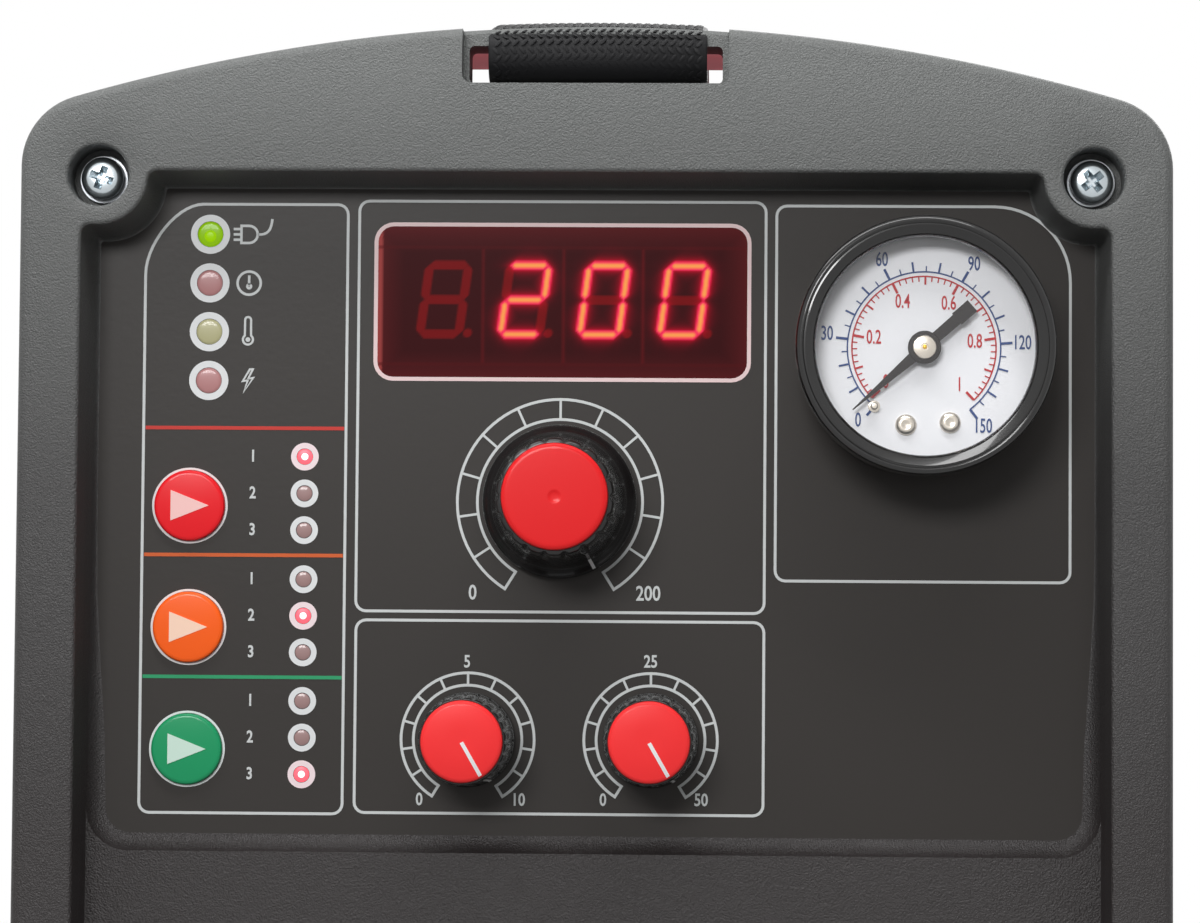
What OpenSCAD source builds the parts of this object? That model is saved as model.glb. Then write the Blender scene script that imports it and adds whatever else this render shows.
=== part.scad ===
// TIG welding machine, an inverter power source in a portable case.
// Millimetres. +Z is up and the control panel faces -Y. The origin is under the middle, at floor level.

/* [Overall] */
// Length over the amps knob and the air inlet
overall_len = 420; // [360:1:520]
// Width over the bezels
case_w = 190; // [170:1:230]
// Height from the floor to the top of the bezel arch
case_h = 300; // [285:1:340]
// Radius of the arched top
arch_r = 310; // [200:5:600]
// Radius where the arch meets the sides
shoulder_r = 12; // [8:1:20]
// Radius of the lower corners
foot_corner_r = 6; // [2:1:10]
// Height of the rubber feet
foot_h = 12; // [8:1:20]

/* [Bezels] */
// Wall thickness of the moulded bezels
wall = 3; // [2.5:0.5:4]
// Depth of the front bezel
front_bezel_d = 42; // [40:1:60]
// Depth of the rear bezel
rear_bezel_d = 40; // [36:1:60]
// How far the panel lies behind the front rim
recess_d = 12; // [8:0.5:15]
// How far the lower face stands in front of the panel
lower_step = 3; // [2:0.5:5]
// Half width of the recess
recess_hw = 84; // [70:0.5:86]
// Half height of the panel recess
recess_hh = 54.5; // [50:0.5:60]
// Corner radius at the bottom of the panel recess
recess_r = 7; // [3:0.5:12]
// Centre of the control panel below the top of the arch
panel_drop = 80; // [76:0.5:95]
// Radius of the screw bosses in the recess corners
boss_r = 9; // [8:0.5:11]
// Radius of the screw counterbores
cbore_r = 5.05; // [4.5:0.05:6]
// Depth of the screw counterbores
cbore_d = 7.5; // [6:0.5:9]
// Depth of the rim round the rear face
rear_rim = 6; // [4:0.5:10]

/* [Strap] */
// Width of the webbing
strap_w = 37; // [30:1:40]
// Thickness of the webbing
strap_t = 1.6; // [1.2:0.1:2.5]
// Height of the strap's crown above its ends
strap_rise = 12; // [5:1:40]
// Half width of the notch the strap lies in
notch_hw = 22; // [20:0.5:26]
// Depth of the bar the strap goes round
bar_d = 8; // [6:0.5:10]

/* [Panel] */
// Thickness of the printed control panel
panel_t = 1.6; // [1:0.1:2]
// Height of the amps knob above the panel
amps_knob_h = 23.3; // [20:0.1:26]
// Radius of the amps knob's skirt
amps_skirt_r = 13; // [11:0.1:15]
// Radius of the amps knob's red cap
amps_cap_r = 8.65; // [7:0.05:10]
// Height of the two small knobs
small_knob_h = 16.6; // [14:0.1:20]
// Radius of the two small knobs
small_knob_r = 7.9; // [7:0.1:9]
// Radius of the small knobs' red caps
small_cap_r = 6.7; // [5.5:0.1:7.5]
// Radius of the potentiometer shafts
shaft_r = 3; // [2:0.5:4]
// Radius of the push buttons
button_r = 5.9; // [5:0.1:7]
// Travel of the push buttons
button_travel = 0.8; // [0.4:0.1:1]
// Radius of the gauge's rim
gauge_r = 21.15; // [18:0.05:23]
// Height of the gauge above the panel
gauge_h = 20.6; // [15:0.1:22]

/* [Sockets] */
// Bore radius of the output sockets
socket_bore_r = 6.55; // [4.5:0.05:7]
// Distance of each output socket from the middle
socket_x = 50; // [42:1:56]
// Height of the output sockets above the floor
socket_z = 74; // [60:1:90]
// Bore radius of the torch gas outlet
gas_bore_r = 3.5; // [2:0.1:4.5]

/* [Rear] */
// Width of the square fan frame
fan_w = 120; // [92:1:120]
// Depth of the fan frame
fan_d = 25; // [20:1:25]
// Height of the fan centre above the floor
fan_z = 95; // [85:1:100]
// How far the air regulator stands out behind the rear rim
rear_proud = 48; // [44:1:60]
// Bore radius of the air inlet
inlet_bore_r = 4; // [3:0.1:5]

/* [Hidden] */
$fn = 64;
run = 0.05;          // radial clearance of turning and sliding fits
seat = 0.3;          // gap between seated curved or tucked pieces
sheet = 1.2;         // cover sheet
plate_t = 1.5;       // steel plates and tray
lap = 8;             // how far the cover tucks into each bezel
half_w = case_w/2;
art_z = case_h - panel_drop;
panel_y = -overall_len/2 + amps_knob_h;
lip_y = panel_y - recess_d;
lower_y = panel_y - lower_step;
seat_y = panel_y + panel_t;
floor_y = seat_y + 2.5;
front_back_y = lip_y + front_bezel_d;
rear_y = overall_len/2 - rear_proud;
rear_front_y = rear_y - rear_bezel_d;
rear_face_y = rear_y - rear_rim;
rear_inner_y = rear_face_y - wall;
front_plate_y = front_back_y - 3.3;
bus_y = max(front_plate_y + 2, lower_y + 30.5);
rear_plate_y = rear_front_y + 20;
tray_z = foot_h + wall + seat;
floor_z = tray_z + plate_t;
tray_hw = half_w - wall - seat - 0.1 - sheet - 0.4;
low_top_z = art_z - recess_hh - 2.5;
low_bot_z = foot_h + 15;
screw_x = 82*case_w/190;
screw_hi_z = art_z + recess_hh;
screw_lo_z = low_bot_z;
screw_sit_y = lip_y + cbore_d;
slot_lo_z = art_z + 70;
bar_lo_z = case_h - wall - 0.3;
bar_y0 = lip_y + 4;
bar_y1 = bar_y0 + bar_d;
bracket_y1 = bar_y1 + 4;
bracket_hw = notch_hw + 3.6;
shelf_z = art_z + recess_hh + wall;

// positions on the panel, from its centre
amps_xz = [-5.74, 1.38];
slope_xz = [-20.82, -38.3];
flow_xz = [9.65, -38.2];
gauge_xz = [54.1, 26.4];
window_xz = [-5.6, 34.8];
window_hw = 31.2;
window_hh = 13;
digit_x = [-25.4, -12, 1.4, 14.8];
digit_z = 35.2;
digit_w = 12.6;
digit_h = 19;
status_x = -64.8;
status_z = [46, 37.8, 29.6, 21.4];
status_r = 2.15;
mode_x = -48.5;
mode_z = [8.7, 2.55, -3.6, -11.8, -17.9, -24, -32.1, -38.2, -44.3];
mode_r = 1.3;
button_x = -67.7;
button_z = [0.4, -19.9, -40.2];
board_y = panel_y + 12;
board_t = 1.6;
bushing_r = 4.5;
standoff_xz = [[-72, 41], [31, 41], [-56, -45.5], [31, -45]];
needle_deg = 221.4;

// places on the lower front and the rear, in X and Z
ctrl_z = 125;
gland_xz = [-50, 190];
stud_xz = [5, 190];
rocker_x = -50;
rocker_z = 231;
reg_x = 55;
reg_z = 222;

// ---------- shared shapes ----------

// A slab between two Y positions whose outline is drawn in X and Z
module slab(y0, y1) {
  translate([0, y1, 0])
    rotate([90, 0, 0])
      linear_extrude(height = y1 - y0)
        children();
}

// A slab between two X positions whose outline is drawn in Y and Z
module side_slab(x0, x1) {
  translate([x0, 0, 0])
    rotate([90, 0, 90])
      linear_extrude(height = x1 - x0)
        children();
}

// Rounded rectangle from exact corner circles
module round_rect(x0, z0, x1, z1, r) {
  translate([x0 + r, z0])
    square([x1 - x0 - 2*r, z1 - z0]);
  translate([x0, z0 + r])
    square([x1 - x0, z1 - z0 - 2*r]);
  for (x = [x0 + r, x1 - r], z = [z0 + r, z1 - r])
    translate([x, z])
      circle(r = r);
}

// Front view of the case, drawn in by d
module outline(d) {
  hw = half_w - d;
  r = arch_r - d;
  cr = shoulder_r - d/2;
  zc = case_h - arch_r;
  cx = hw - cr;
  cz = zc + sqrt(pow(r - cr, 2) - cx*cx);
  bz = foot_h + d;
  br = max(0.6, foot_corner_r - d);
  ux = cx/(r - cr);
  uz = (cz - zc)/(r - cr);
  intersection() {
    translate([0, zc])
      circle(r = r, $fn = 256);
    polygon([[0, zc], [2*r*ux, zc + 2*r*uz], [-2*r*ux, zc + 2*r*uz]]);
    translate([-hw, cz - 4*cr])
      square([2*hw, r]);
  }
  for (s = [-1, 1])
    translate([s*cx, cz])
      circle(r = cr);
  translate([-hw, bz + br])
    square([2*hw, cz - bz - br]);
  translate([-hw + br, bz])
    square([2*(hw - br), 2*br]);
  for (s = [-1, 1])
    translate([s*(hw - br), bz + br])
      circle(r = br);
}

// Recess in which the control panel lies, drawn out by d
module panel_area(d) {
  x = recess_hw + d;
  z0 = art_z - recess_hh - d;
  z1 = art_z + recess_hh + d;
  difference() {
    union() {
      round_rect(-x, z0, x, z1, recess_r + d);
      translate([-x, art_z])
        square([2*x, recess_hh + d]);
    }
    for (s = [-1, 1])
      translate([s*screw_x, screw_hi_z])
        circle(r = boss_r - d);
  }
}

// Recess of the lower face, drawn out by d
module lower_area(d) {
  x = recess_hw + d;
  difference() {
    translate([-x, low_bot_z - d])
      square([2*x, art_z - low_bot_z + d]);
    for (s = [-1, 1])
      translate([s*screw_x, screw_lo_z])
        circle(r = boss_r - d);
  }
}

module corner_spots() {
  for (s = [-1, 1], z = [screw_lo_z, screw_hi_z])
    translate([s*screw_x, z])
      children();
}

// Round bar along Y between two Y positions
module rod_y(x, z, r, y0, y1) {
  translate([x, y1, z])
    rotate([90, 0, 0])
      cylinder(r = r, h = y1 - y0);
}

module tube_y(x, z, r, bore, y0, y1) {
  difference() {
    rod_y(x, z, r, y0, y1);
    rod_y(x, z, bore, y0 - 1, y1 + 1);
  }
}

// Hexagon across flats af, along Y, with a bore
module hex_y(x, z, af, bore, y0, y1) {
  translate([x, y1, z])
    rotate([90, 0, 0])
      difference() {
        cylinder(r = af/sqrt(3), h = y1 - y0, $fn = 6);
        translate([0, 0, -1])
          cylinder(r = bore, h = y1 - y0 + 2);
      }
}

// Point on the panel
module on_panel(p) {
  translate([p[0], panel_y, art_z + p[1]])
    rotate([90, 0, 0])
      children();
}

// ---------- case ----------

module front_bezel() {
  color([0.2, 0.2, 0.21])
  difference() {
    union() {
      difference() {
        slab(lip_y, front_back_y)
          outline(0);
        // main hollow behind the panel floor
        slab(floor_y, front_back_y + 1)
          outline(wall);
        // hollow inside the rim, open to the rear
        slab(lip_y + wall, floor_y + 1)
          difference() {
            outline(wall);
            panel_area(wall);
            lower_area(wall);
          }
        slab(lip_y - 1, seat_y)
          panel_area(0);
        slab(lip_y - 1, lower_y)
          lower_area(0);
        // window in the floor behind the printed panel
        slab(seat_y - 1, floor_y + 1)
          round_rect(-78, art_z - 49, 78, art_z + 50.5, 4);
        // hollow behind the lower face
        slab(lower_y + wall, floor_y + 1)
          translate([-recess_hw + boss_r, low_bot_z + boss_r])
            square([2*(recess_hw - boss_r), low_top_z - low_bot_z - boss_r - 4]);
      }
      // screw columns
      slab(lip_y + 1, front_plate_y)
        intersection() {
          corner_spots()
            circle(r = boss_r - 1);
          outline(1);
        }
    }
    // counterbores and screw holes
    slab(lip_y - 1, screw_sit_y)
      corner_spots()
        circle(r = cbore_r);
    slab(lip_y, front_back_y + 1)
      corner_spots()
        circle(r = 2.3);
    // strap notch, slot through the front, and opening behind the bar
    slab(lip_y - 1, bar_y0)
      translate([-notch_hw, slot_lo_z])
        square([2*notch_hw, panel_drop]);
    slab(lip_y - 1, bar_y1 + 1)
      translate([-notch_hw + 1, slot_lo_z])
        square([2*(notch_hw - 1), bar_lo_z - slot_lo_z]);
    slab(bar_y1, front_back_y + 1)
      translate([-bracket_hw - 0.6, slot_lo_z])
        square([2*bracket_hw + 1.2, panel_drop]);
    // holes in the lower face
    slab(lower_y - 1, floor_y + 1) {
      for (s = [-1, 1])
        translate([s*socket_x, socket_z])
          circle(r = 14);
      translate([0, socket_z])
        circle(r = 8.1);
      translate([0, ctrl_z])
        circle(r = 10.6);
    }
    // foot screw holes
    for (s = [-1, 1])
      translate([s*70, lip_y + 22, 0])
        cylinder(r = 2.3, h = 40);
  }
}

module rear_bezel() {
  color([0.2, 0.2, 0.21])
  difference() {
    union() {
      difference() {
        slab(rear_front_y, rear_y)
          outline(0);
        slab(rear_front_y - 1, rear_inner_y)
          outline(wall);
        slab(rear_face_y, rear_y + 1)
          difference() {
            outline(11);
            corner_spots()
              circle(r = boss_r);
          }
        slab(rear_front_y - 1, rear_y - wall)
          difference() {
            outline(wall);
            outline(8);
          }
      }
      slab(rear_plate_y + plate_t, rear_y - 1)
        intersection() {
          corner_spots()
            circle(r = boss_r - 1);
          outline(1);
        }
    }
    slab(rear_y - cbore_d, rear_y + 1)
      corner_spots()
        circle(r = cbore_r);
    slab(rear_front_y, rear_y)
      corner_spots()
        circle(r = 2.3);
    // strap notch, slot and opening, as at the front
    slab(rear_y - 4, rear_y + 1)
      translate([-notch_hw, slot_lo_z])
        square([2*notch_hw, panel_drop]);
    slab(rear_y - 4 - bar_d - 1, rear_y + 1)
      translate([-notch_hw + 1, slot_lo_z])
        square([2*(notch_hw - 1), bar_lo_z - slot_lo_z]);
    slab(rear_front_y - 1, rear_y - 4 - bar_d)
      translate([-bracket_hw - 0.6, slot_lo_z])
        square([2*bracket_hw + 1.2, panel_drop]);
    // fan opening and its screw holes
    rod_y(0, fan_z, fan_w/2 - 4, rear_inner_y - 1, rear_y);
    for (sx = [-1, 1], sz = [-1, 1])
      rod_y(sx*(fan_w/2 - 7.5), fan_z + sz*(fan_w/2 - 7.5), 2.2, rear_inner_y - 1, rear_y);
    // switch, gland, ground stud and air inlet holes
    slab(rear_inner_y - 1, rear_face_y + 1) {
      translate([rocker_x, rocker_z])
        round_rect(-13.2, -14.8, 13.2, 14.8, 2);
      translate(gland_xz)
        circle(r = 8.1);
      translate(stud_xz)
        circle(r = 3.1);
      translate([reg_x, reg_z])
        circle(r = 6.6);
    }
    for (s = [-1, 1])
      translate([s*70, rear_y - 14, 0])
        cylinder(r = 2.3, h = 40);
  }
}

cover_y0 = front_back_y - lap;
cover_y1 = rear_front_y + lap;
slot_row_z = [for (i = [0:10]) 62 + 9*i];
slot_l = 44;
slot_h = 3.6;

module cover() {
  color([0.72, 0.06, 0.07])
  difference() {
    slab(cover_y0, cover_y1)
      outline(wall + seat + 0.1);
    slab(cover_y0 - 1, cover_y1 + 1)
      outline(wall + seat + 0.1 + sheet);
    // open underneath
    translate([-half_w, cover_y0 - 1, 0])
      cube([case_w, cover_y1 - cover_y0 + 2, tray_z + 5]);
    // strap cut-outs at both ends
    for (y = [cover_y0 - 1, cover_y1 - 32])
      translate([-bracket_hw - 1, y, case_h - 30])
        cube([2*bracket_hw + 2, 33, 40]);
    // cooling slots in both sides
    side_slab(-half_w, half_w)
      for (y = [cover_y0 + 36, cover_y1 - 36 - slot_l], z = slot_row_z)
        round_rect(y, z, y + slot_l, z + slot_h, slot_h/2 - 0.01);
    // screw holes
    cover_screw_spots()
      translate([0, 0, -sheet - 4])
        cylinder(r = 2.1, h = 10);
    // clearance round the corner screw bosses at both ends
    for (y = [cover_y0 - 1, cover_y1 - lap])
      slab(y, y + lap + 1)
        corner_spots()
          circle(r = boss_r);
  }
}

// Side screws, local Z pointing out of the cover
module cover_screw_spots() {
  for (s = [-1, 1], y = [cover_y0 + 24, (cover_y0 + cover_y1)/2, cover_y1 - 24])
    translate([s*(half_w - wall - seat - 0.1), y, tray_z + 14])
      rotate([0, s*90, 0])
        children();
}

// Pan-head screws through the cover sides and up through the feet
module case_screws() {
  color([0.3, 0.3, 0.31]) {
    cover_screw_spots()
      pan_screw(7);
    foot_spots()
      translate([0, 0, foot_h - 4])
        rotate([180, 0, 0])
          pan_screw(wall + 9);
  }
}

// Head above local Z = 0, shank below
module pan_screw(len) {
  difference() {
    union() {
      cylinder(r = 3.6, h = 2);
      translate([0, 0, -len])
        cylinder(r = 1.75, h = len + 0.5);
    }
    for (a = [0, 90])
      rotate([0, 0, a])
        translate([-0.5, -2, 1])
          cube([1, 4, 2]);
  }
}

module base_tray() {
  y0 = front_plate_y + plate_t;
  y1 = rear_plate_y;
  color([0.55, 0.56, 0.58])
  difference() {
    union() {
      translate([-tray_hw, y0, tray_z])
        cube([2*tray_hw, y1 - y0, plate_t]);
      for (s = [0, 1])
        translate([s == 0 ? -tray_hw : tray_hw - plate_t, y0, tray_z])
          cube([plate_t, y1 - y0, 28]);
    }
    cover_screw_spots()
      translate([0, 0, -20])
        cylinder(r = 1.85, h = 24);
    // air holes under the heatsinks
    for (x = [-40, 0, 40], y = [-60:24:60])
      translate([x - 10, y, tray_z - 1])
        cube([20, 5, plate_t + 2]);
  }
}

module plate_outline() {
  difference() {
    outline(wall + seat + 0.1 + sheet + 0.4);
    // strap room at the top
    translate([-bracket_hw - 1, slot_lo_z - 2])
      square([2*bracket_hw + 2, panel_drop]);
    corner_spots()
      circle(r = 2.3);
  }
}

module front_plate() {
  slab(front_plate_y, front_plate_y + plate_t)
    difference() {
      plate_outline();
      for (s = [-1, 1])
        translate([s*socket_x, socket_z])
          circle(r = 16);
      translate([0, socket_z])
        circle(r = 9);
      translate([0, ctrl_z])
        circle(r = 12);
      translate([gauge_xz[0], art_z + gauge_xz[1]])
        circle(r = 9);
      round_rect(-60, art_z - 40, 20, art_z - 20, 3);
    }
}

module rear_plate() {
  slab(rear_plate_y, rear_plate_y + plate_t)
    difference() {
      plate_outline();
      translate([-fan_w/2 - 1, fan_z - fan_w/2 - 1])
        square([fan_w + 2, fan_w + 2]);
      translate([rocker_x, rocker_z])
        round_rect(-16, -19, 16, 19, 3);
      translate(gland_xz)
        circle(r = 12);
      translate(stud_xz)
        circle(r = 7);
      translate([reg_x, reg_z])
        circle(r = 9);
    }
}

module end_plates() {
  color([0.6, 0.61, 0.63]) {
    front_plate();
    rear_plate();
  }
}

foot_y = [lip_y + 22, rear_y - 14];

module foot_spots() {
  for (s = [-1, 1], y = foot_y)
    translate([s*70, y, 0])
      children();
}

module feet() {
  color([0.07, 0.07, 0.07])
  foot_spots()
    difference() {
      union() {
        cylinder(r = 10, h = 2);
        translate([0, 0, 2])
          cylinder(r = 12, h = foot_h - 2);
      }
      translate([0, 0, -1])
        cylinder(r = 5, h = foot_h - 3);
      cylinder(r = 2.3, h = foot_h + 1);
    }
}

// One side's corner screws, local Z pointing out of the machine and 0 at the counterbore floor
module corner_set_at(sides, y, a) {
  for (s = sides, z = [screw_lo_z, screw_hi_z])
    translate([s*screw_x, y, z])
      rotate([a, 0, 0])
        children();
}

washer_t = 0.9;
spring_t = 1.1;
head_h = 2.2;
nut_af = 7;
nut_h = 3.2;

module corner_screw_one(len) {
  difference() {
    union() {
      translate([0, 0, washer_t + spring_t])
        cylinder(r = 3.4, h = head_h);
      translate([0, 0, -len])
        cylinder(r = 2, h = len + washer_t + spring_t + 0.5);
    }
    for (a = [0, 90])
      rotate([0, 0, a + 20])
        translate([-0.45, -2, washer_t + spring_t + 0.8])
          cube([0.9, 4, 3]);
  }
}

module corner_screws() {
  color([0.82, 0.82, 0.83]) {
    corner_set_at([-1, 1], screw_sit_y, 90)
      corner_screw_one(front_plate_y - screw_sit_y + 8);
    corner_set_at([-1, 1], rear_y - cbore_d, -90)
      corner_screw_one(rear_y - cbore_d - rear_plate_y + 7);
  }
}

module washer_pair(z0, ro, t) {
  corner_set_at([-1, 1], screw_sit_y, 90)
    washer_one(z0, ro, t);
  corner_set_at([-1, 1], rear_y - cbore_d, -90)
    washer_one(z0, ro, t);
}

module washer_one(z0, ro, t) {
  translate([0, 0, z0])
    difference() {
      cylinder(r = ro, h = t);
      translate([0, 0, -1])
        cylinder(r = 2 + run, h = t + 2);
    }
}

// A flat washer and a split spring washer under every corner screw
module washers() {
  color([0.8, 0.8, 0.81]) {
    washer_pair(0, 4, washer_t);
    difference() {
      washer_pair(washer_t, 3.5, spring_t);
      for (s = [-1, 1], z = [screw_lo_z, screw_hi_z])
        translate([s*screw_x - 0.4, lip_y - 2, z])
          cube([0.8, rear_y - lip_y + 4, 5]);
    }
  }
}

// Hexagon nuts behind the plates and over the feet
module nuts() {
  color([0.75, 0.75, 0.76]) {
    for (s = [-1, 1], z = [screw_lo_z, screw_hi_z]) {
      hex_y(s*screw_x, z, nut_af, 2 + run, front_plate_y + plate_t, front_plate_y + plate_t + nut_h);
      hex_y(s*screw_x, z, nut_af, 2 + run, rear_plate_y - nut_h, rear_plate_y);
    }
    foot_spots()
      translate([0, 0, foot_h + wall])
        difference() {
          cylinder(r = nut_af/sqrt(3), h = nut_h, $fn = 6);
          translate([0, 0, -1])
            cylinder(r = 1.75 + run, h = 6);
        }
  }
}

// ---------- strap ----------

strap_y0 = bar_y0 + 0.5;
strap_y1 = rear_y - 4 - 0.5;
strap_lo = case_h + 0.35;
strap_half = (strap_y1 - strap_y0)/2;
strap_mid = (strap_y1 + strap_y0)/2;
strap_R = (strap_half*strap_half + strap_rise*strap_rise)/(2*strap_rise);
strap_cz = strap_lo + strap_rise - strap_R;
under_z = bar_lo_z - 0.9;
tail = 34;

// Loop round one bar and its tail: f is the front of the bar, s = 1 at the front and -1 at the rear
module strap_loop(f, s) {
  t = strap_t;
  m = f + s*(tail + 26);
  zm = strap_cz + sqrt(strap_R*strap_R - pow(m - strap_mid, 2));
  polygon([[f - s*t, under_z - t + 0.8], [f - s*t, strap_lo + t - 0.8], [f - s*(t - 0.8), strap_lo + t],
           [f + s*4, strap_lo + t + 0.1], [f + s*4, strap_lo + 0.9], [f, strap_lo], [f, under_z],
           [f + s*(tail - 2), under_z], [m, zm + 0.7], [m + s*3, zm + 0.8],
           [f + s*tail, under_z - t], [f - s*(t - 0.8), under_z - t]]);
}

module carry_strap() {
  color([0.05, 0.05, 0.05])
  side_slab(-strap_w/2, strap_w/2) {
    intersection() {
      translate([strap_mid, strap_cz])
        difference() {
          circle(r = strap_R + strap_t, $fn = 720);
          circle(r = strap_R, $fn = 720);
        }
      translate([strap_y0 + 1.2, case_h])
        square([strap_y1 - strap_y0 - 2.4, 60]);
    }
    strap_loop(bar_y0 - 0.4, 1);
    strap_loop(rear_y - 4 + 0.4, -1);
  }
}

module bracket_shape() {
  top = case_h - 0.6;
  difference() {
    translate([-bracket_hw, shelf_z])
      square([2*bracket_hw, top - shelf_z]);
    translate([-bracket_hw + 2.5, shelf_z - 1])
      square([2*bracket_hw - 5, bar_lo_z - shelf_z + 1]);
    // follow the arch of the bezel
    translate([0, case_h - arch_r])
      difference() {
        circle(r = arch_r + 10);
        circle(r = arch_r - 0.6, $fn = 256);
      }
  }
  for (s = [0, 1])
    translate([s == 0 ? -bracket_hw - 10 : bracket_hw - 1, shelf_z])
      square([11, 2.5]);
}

module strap_brackets() {
  color([0.72, 0.06, 0.07]) {
    slab(bar_y1 + seat, bracket_y1)
      bracket_shape();
    slab(rear_y - 4 - bar_d - 4, rear_y - 4 - bar_d - seat)
      bracket_shape();
  }
}

// ---------- control panel ----------

module control_panel() {
  color([0.22, 0.21, 0.21])
  slab(panel_y, seat_y)
    difference() {
      panel_area(-0.2);
      translate([window_xz[0] - window_hw, art_z + window_xz[1] - window_hh])
        round_rect(0, 0, 2*window_hw, 2*window_hh, 3);
      for (p = [amps_xz, slope_xz, flow_xz])
        translate([p[0], art_z + p[1]])
          circle(r = bushing_r + 0.1);
      translate([gauge_xz[0], art_z + gauge_xz[1]])
        circle(r = 5.1);
      for (z = status_z)
        translate([status_x, art_z + z])
          circle(r = status_r + 0.1);
      for (z = mode_z)
        translate([mode_x, art_z + z])
          circle(r = mode_r + 0.1);
      for (z = button_z)
        translate([button_x, art_z + z])
          circle(r = button_r + 0.1);
    }
}

module display_window() {
  color([0.35, 0.02, 0.03])
  translate([window_xz[0], 0, art_z + window_xz[1]]) {
    slab(panel_y, seat_y + 0.2)
      round_rect(-window_hw + 0.1, -window_hh + 0.1, window_hw - 0.1, window_hh - 0.1, 2.9);
    slab(seat_y + 0.05, seat_y + 1)
      round_rect(-window_hw - 1.5, -window_hh - 1.2, window_hw + 1.5, window_hh + 1.2, 3);
  }
}

module digit_modules() {
  color([0.12, 0.1, 0.1])
  for (x = digit_x)
    translate([x - digit_w/2, seat_y + 1.4, art_z + digit_z - digit_h/2]) {
      cube([digit_w, 7.6, digit_h]);
      for (i = [0:4], j = [0, 1])
        translate([2.3 + 2*i - 0.25, 7, j == 0 ? 1.5 : digit_h - 2])
          cube([0.5, board_y - seat_y - 8.4, 0.5]);
    }
}

module lamp(r, flange) {
  translate([0, 0, -panel_t - 5])
    cylinder(r = r, h = panel_t + 5 - 0.2);
  translate([0, 0, -panel_t - 5])
    cylinder(r = flange, h = 1);
  for (s = [-1, 1])
    translate([s*1 - 0.25, -0.25, -(board_y - panel_y)])
      cube([0.5, 0.5, board_y - panel_y - panel_t - 4.5]);
}

module status_lamps() {
  color([0.6, 0.9, 0.3])
  for (z = status_z)
    on_panel([status_x, z])
      lamp(status_r, status_r + 0.5);
}

module mode_lamps() {
  color([0.9, 0.5, 0.5])
  for (z = mode_z)
    on_panel([mode_x, z])
      lamp(mode_r, mode_r + 0.3);
}

button_up = 1.2;

// Push button with a retaining flange and a stem that meets its switch
module button(p) {
  on_panel(p) {
    translate([0, 0, -panel_t - 1.3])
      cylinder(r = button_r, h = panel_t + 1.3 + button_up);
    translate([0, 0, -panel_t - 1.3])
      cylinder(r = button_r + 1, h = 1);
    translate([0, 0, -panel_t - 3])
      cylinder(r = 2, h = 2);
  }
}

module mode_button() {
  color([0.85, 0.1, 0.1])
  button([button_x, button_z[0]]);
}

module remote_button() {
  color([0.95, 0.4, 0.05])
  button([button_x, button_z[1]]);
}

module pulse_button() {
  color([0.05, 0.55, 0.35])
  button([button_x, button_z[2]]);
}

tact_h = board_y - panel_y - panel_t - 3 - button_travel - 0.1;

module tact_switches() {
  for (z = button_z)
    translate([button_x, board_y, art_z + z])
      rotate([90, 0, 0]) {
        translate([-3, -3, 0])
          cube([6, 6, tact_h - 1.5]);
        cylinder(r = 1.75, h = tact_h);
      }
}

module control_board() {
  slab(board_y, board_y + board_t)
    difference() {
      translate([-76, art_z - 48])
        square([111, 93]);
      for (p = standoff_xz)
        translate([p[0], art_z + p[1]])
          circle(r = 1.6);
    }
}

// Control board behind the panel and power board on the heatsinks
module boards() {
  color([0.05, 0.35, 0.15]) {
    control_board();
    translate([-80, sink_y0 - 4, board_z])
      cube([160, sink_y1 - sink_y0 + 4, 2]);
  }
}

module board_standoffs() {
  for (p = standoff_xz) {
    tube_y(p[0], art_z + p[1], 3, 1.55, seat_y, board_y);
    rod_y(p[0], art_z + p[1], 1.5, seat_y + 4, board_y + board_t + 2);
    rod_y(p[0], art_z + p[1], 2.8, board_y + board_t, board_y + board_t + 2);
  }
}

module board_chips() {
  for (p = [[-40, 8], [-10, 20], [-34, -22]])
    translate([p[0], board_y + board_t, art_z + p[1]])
      cube([14, 2, 9]);
  translate([-45, board_y + board_t, art_z - 36])
    cube([40, 8, 7]);
  for (x = [-60, -54])
    rod_y(x, art_z + 25, 2.4, board_y + board_t, board_y + board_t + 7);
}

// What the control board carries: switches, chips, plug and standoffs
module board_parts() {
  color([0.1, 0.1, 0.1]) {
    tact_switches();
    board_chips();
    board_standoffs();
  }
}

// ---------- knobs ----------

// Fluted knob with a D bore, a skirt and a seat for its cap
module knob(r, h, skirt, cap_r, flutes) {
  base = 0.8;
  difference() {
    union() {
      if (skirt > 0)
        translate([0, 0, base])
          cylinder(r = skirt, h = 2.6);
      translate([0, 0, base])
        linear_extrude(height = h - base - 1.4)
          difference() {
            circle(r = r);
            for (i = [0:flutes - 1])
              rotate(360*i/flutes)
                translate([r + 0.35, 0])
                  circle(r = 0.95, $fn = 24);
          }
      translate([0, 0, h - 1.5])
        cylinder(r = cap_r + 0.35, h = 0.9);
    }
    // room for the nut, and the shaft bore
    translate([0, 0, -1])
      cylinder(r = 6.9, h = 4.2 + base);
    translate([0, 0, -1])
      shaft_d(shaft_r + run, h - 3);
    translate([0, 0, h - 1.8])
      cylinder(r = cap_r + run, h = 4);
  }
}

module shaft_d(r, h) {
  linear_extrude(height = h)
    difference() {
      circle(r = r);
      translate([-r, r*0.5])
        square([2*r, r]);
    }
}

// Red cap with a raised rim line
module cap(r, h) {
  translate([0, 0, h - 1.8])
    cylinder(r = r, h = 1.3);
  translate([0, 0, h - 0.5])
    cylinder(r = r - 0.35, h = 0.5);
}

module shaft(h) {
  translate([0, 0, -panel_t - 6])
    cylinder(r = shaft_r, h = panel_t + 6 + 4);
  translate([0, 0, 3.9])
    shaft_d(shaft_r, h - 8);
}

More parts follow.
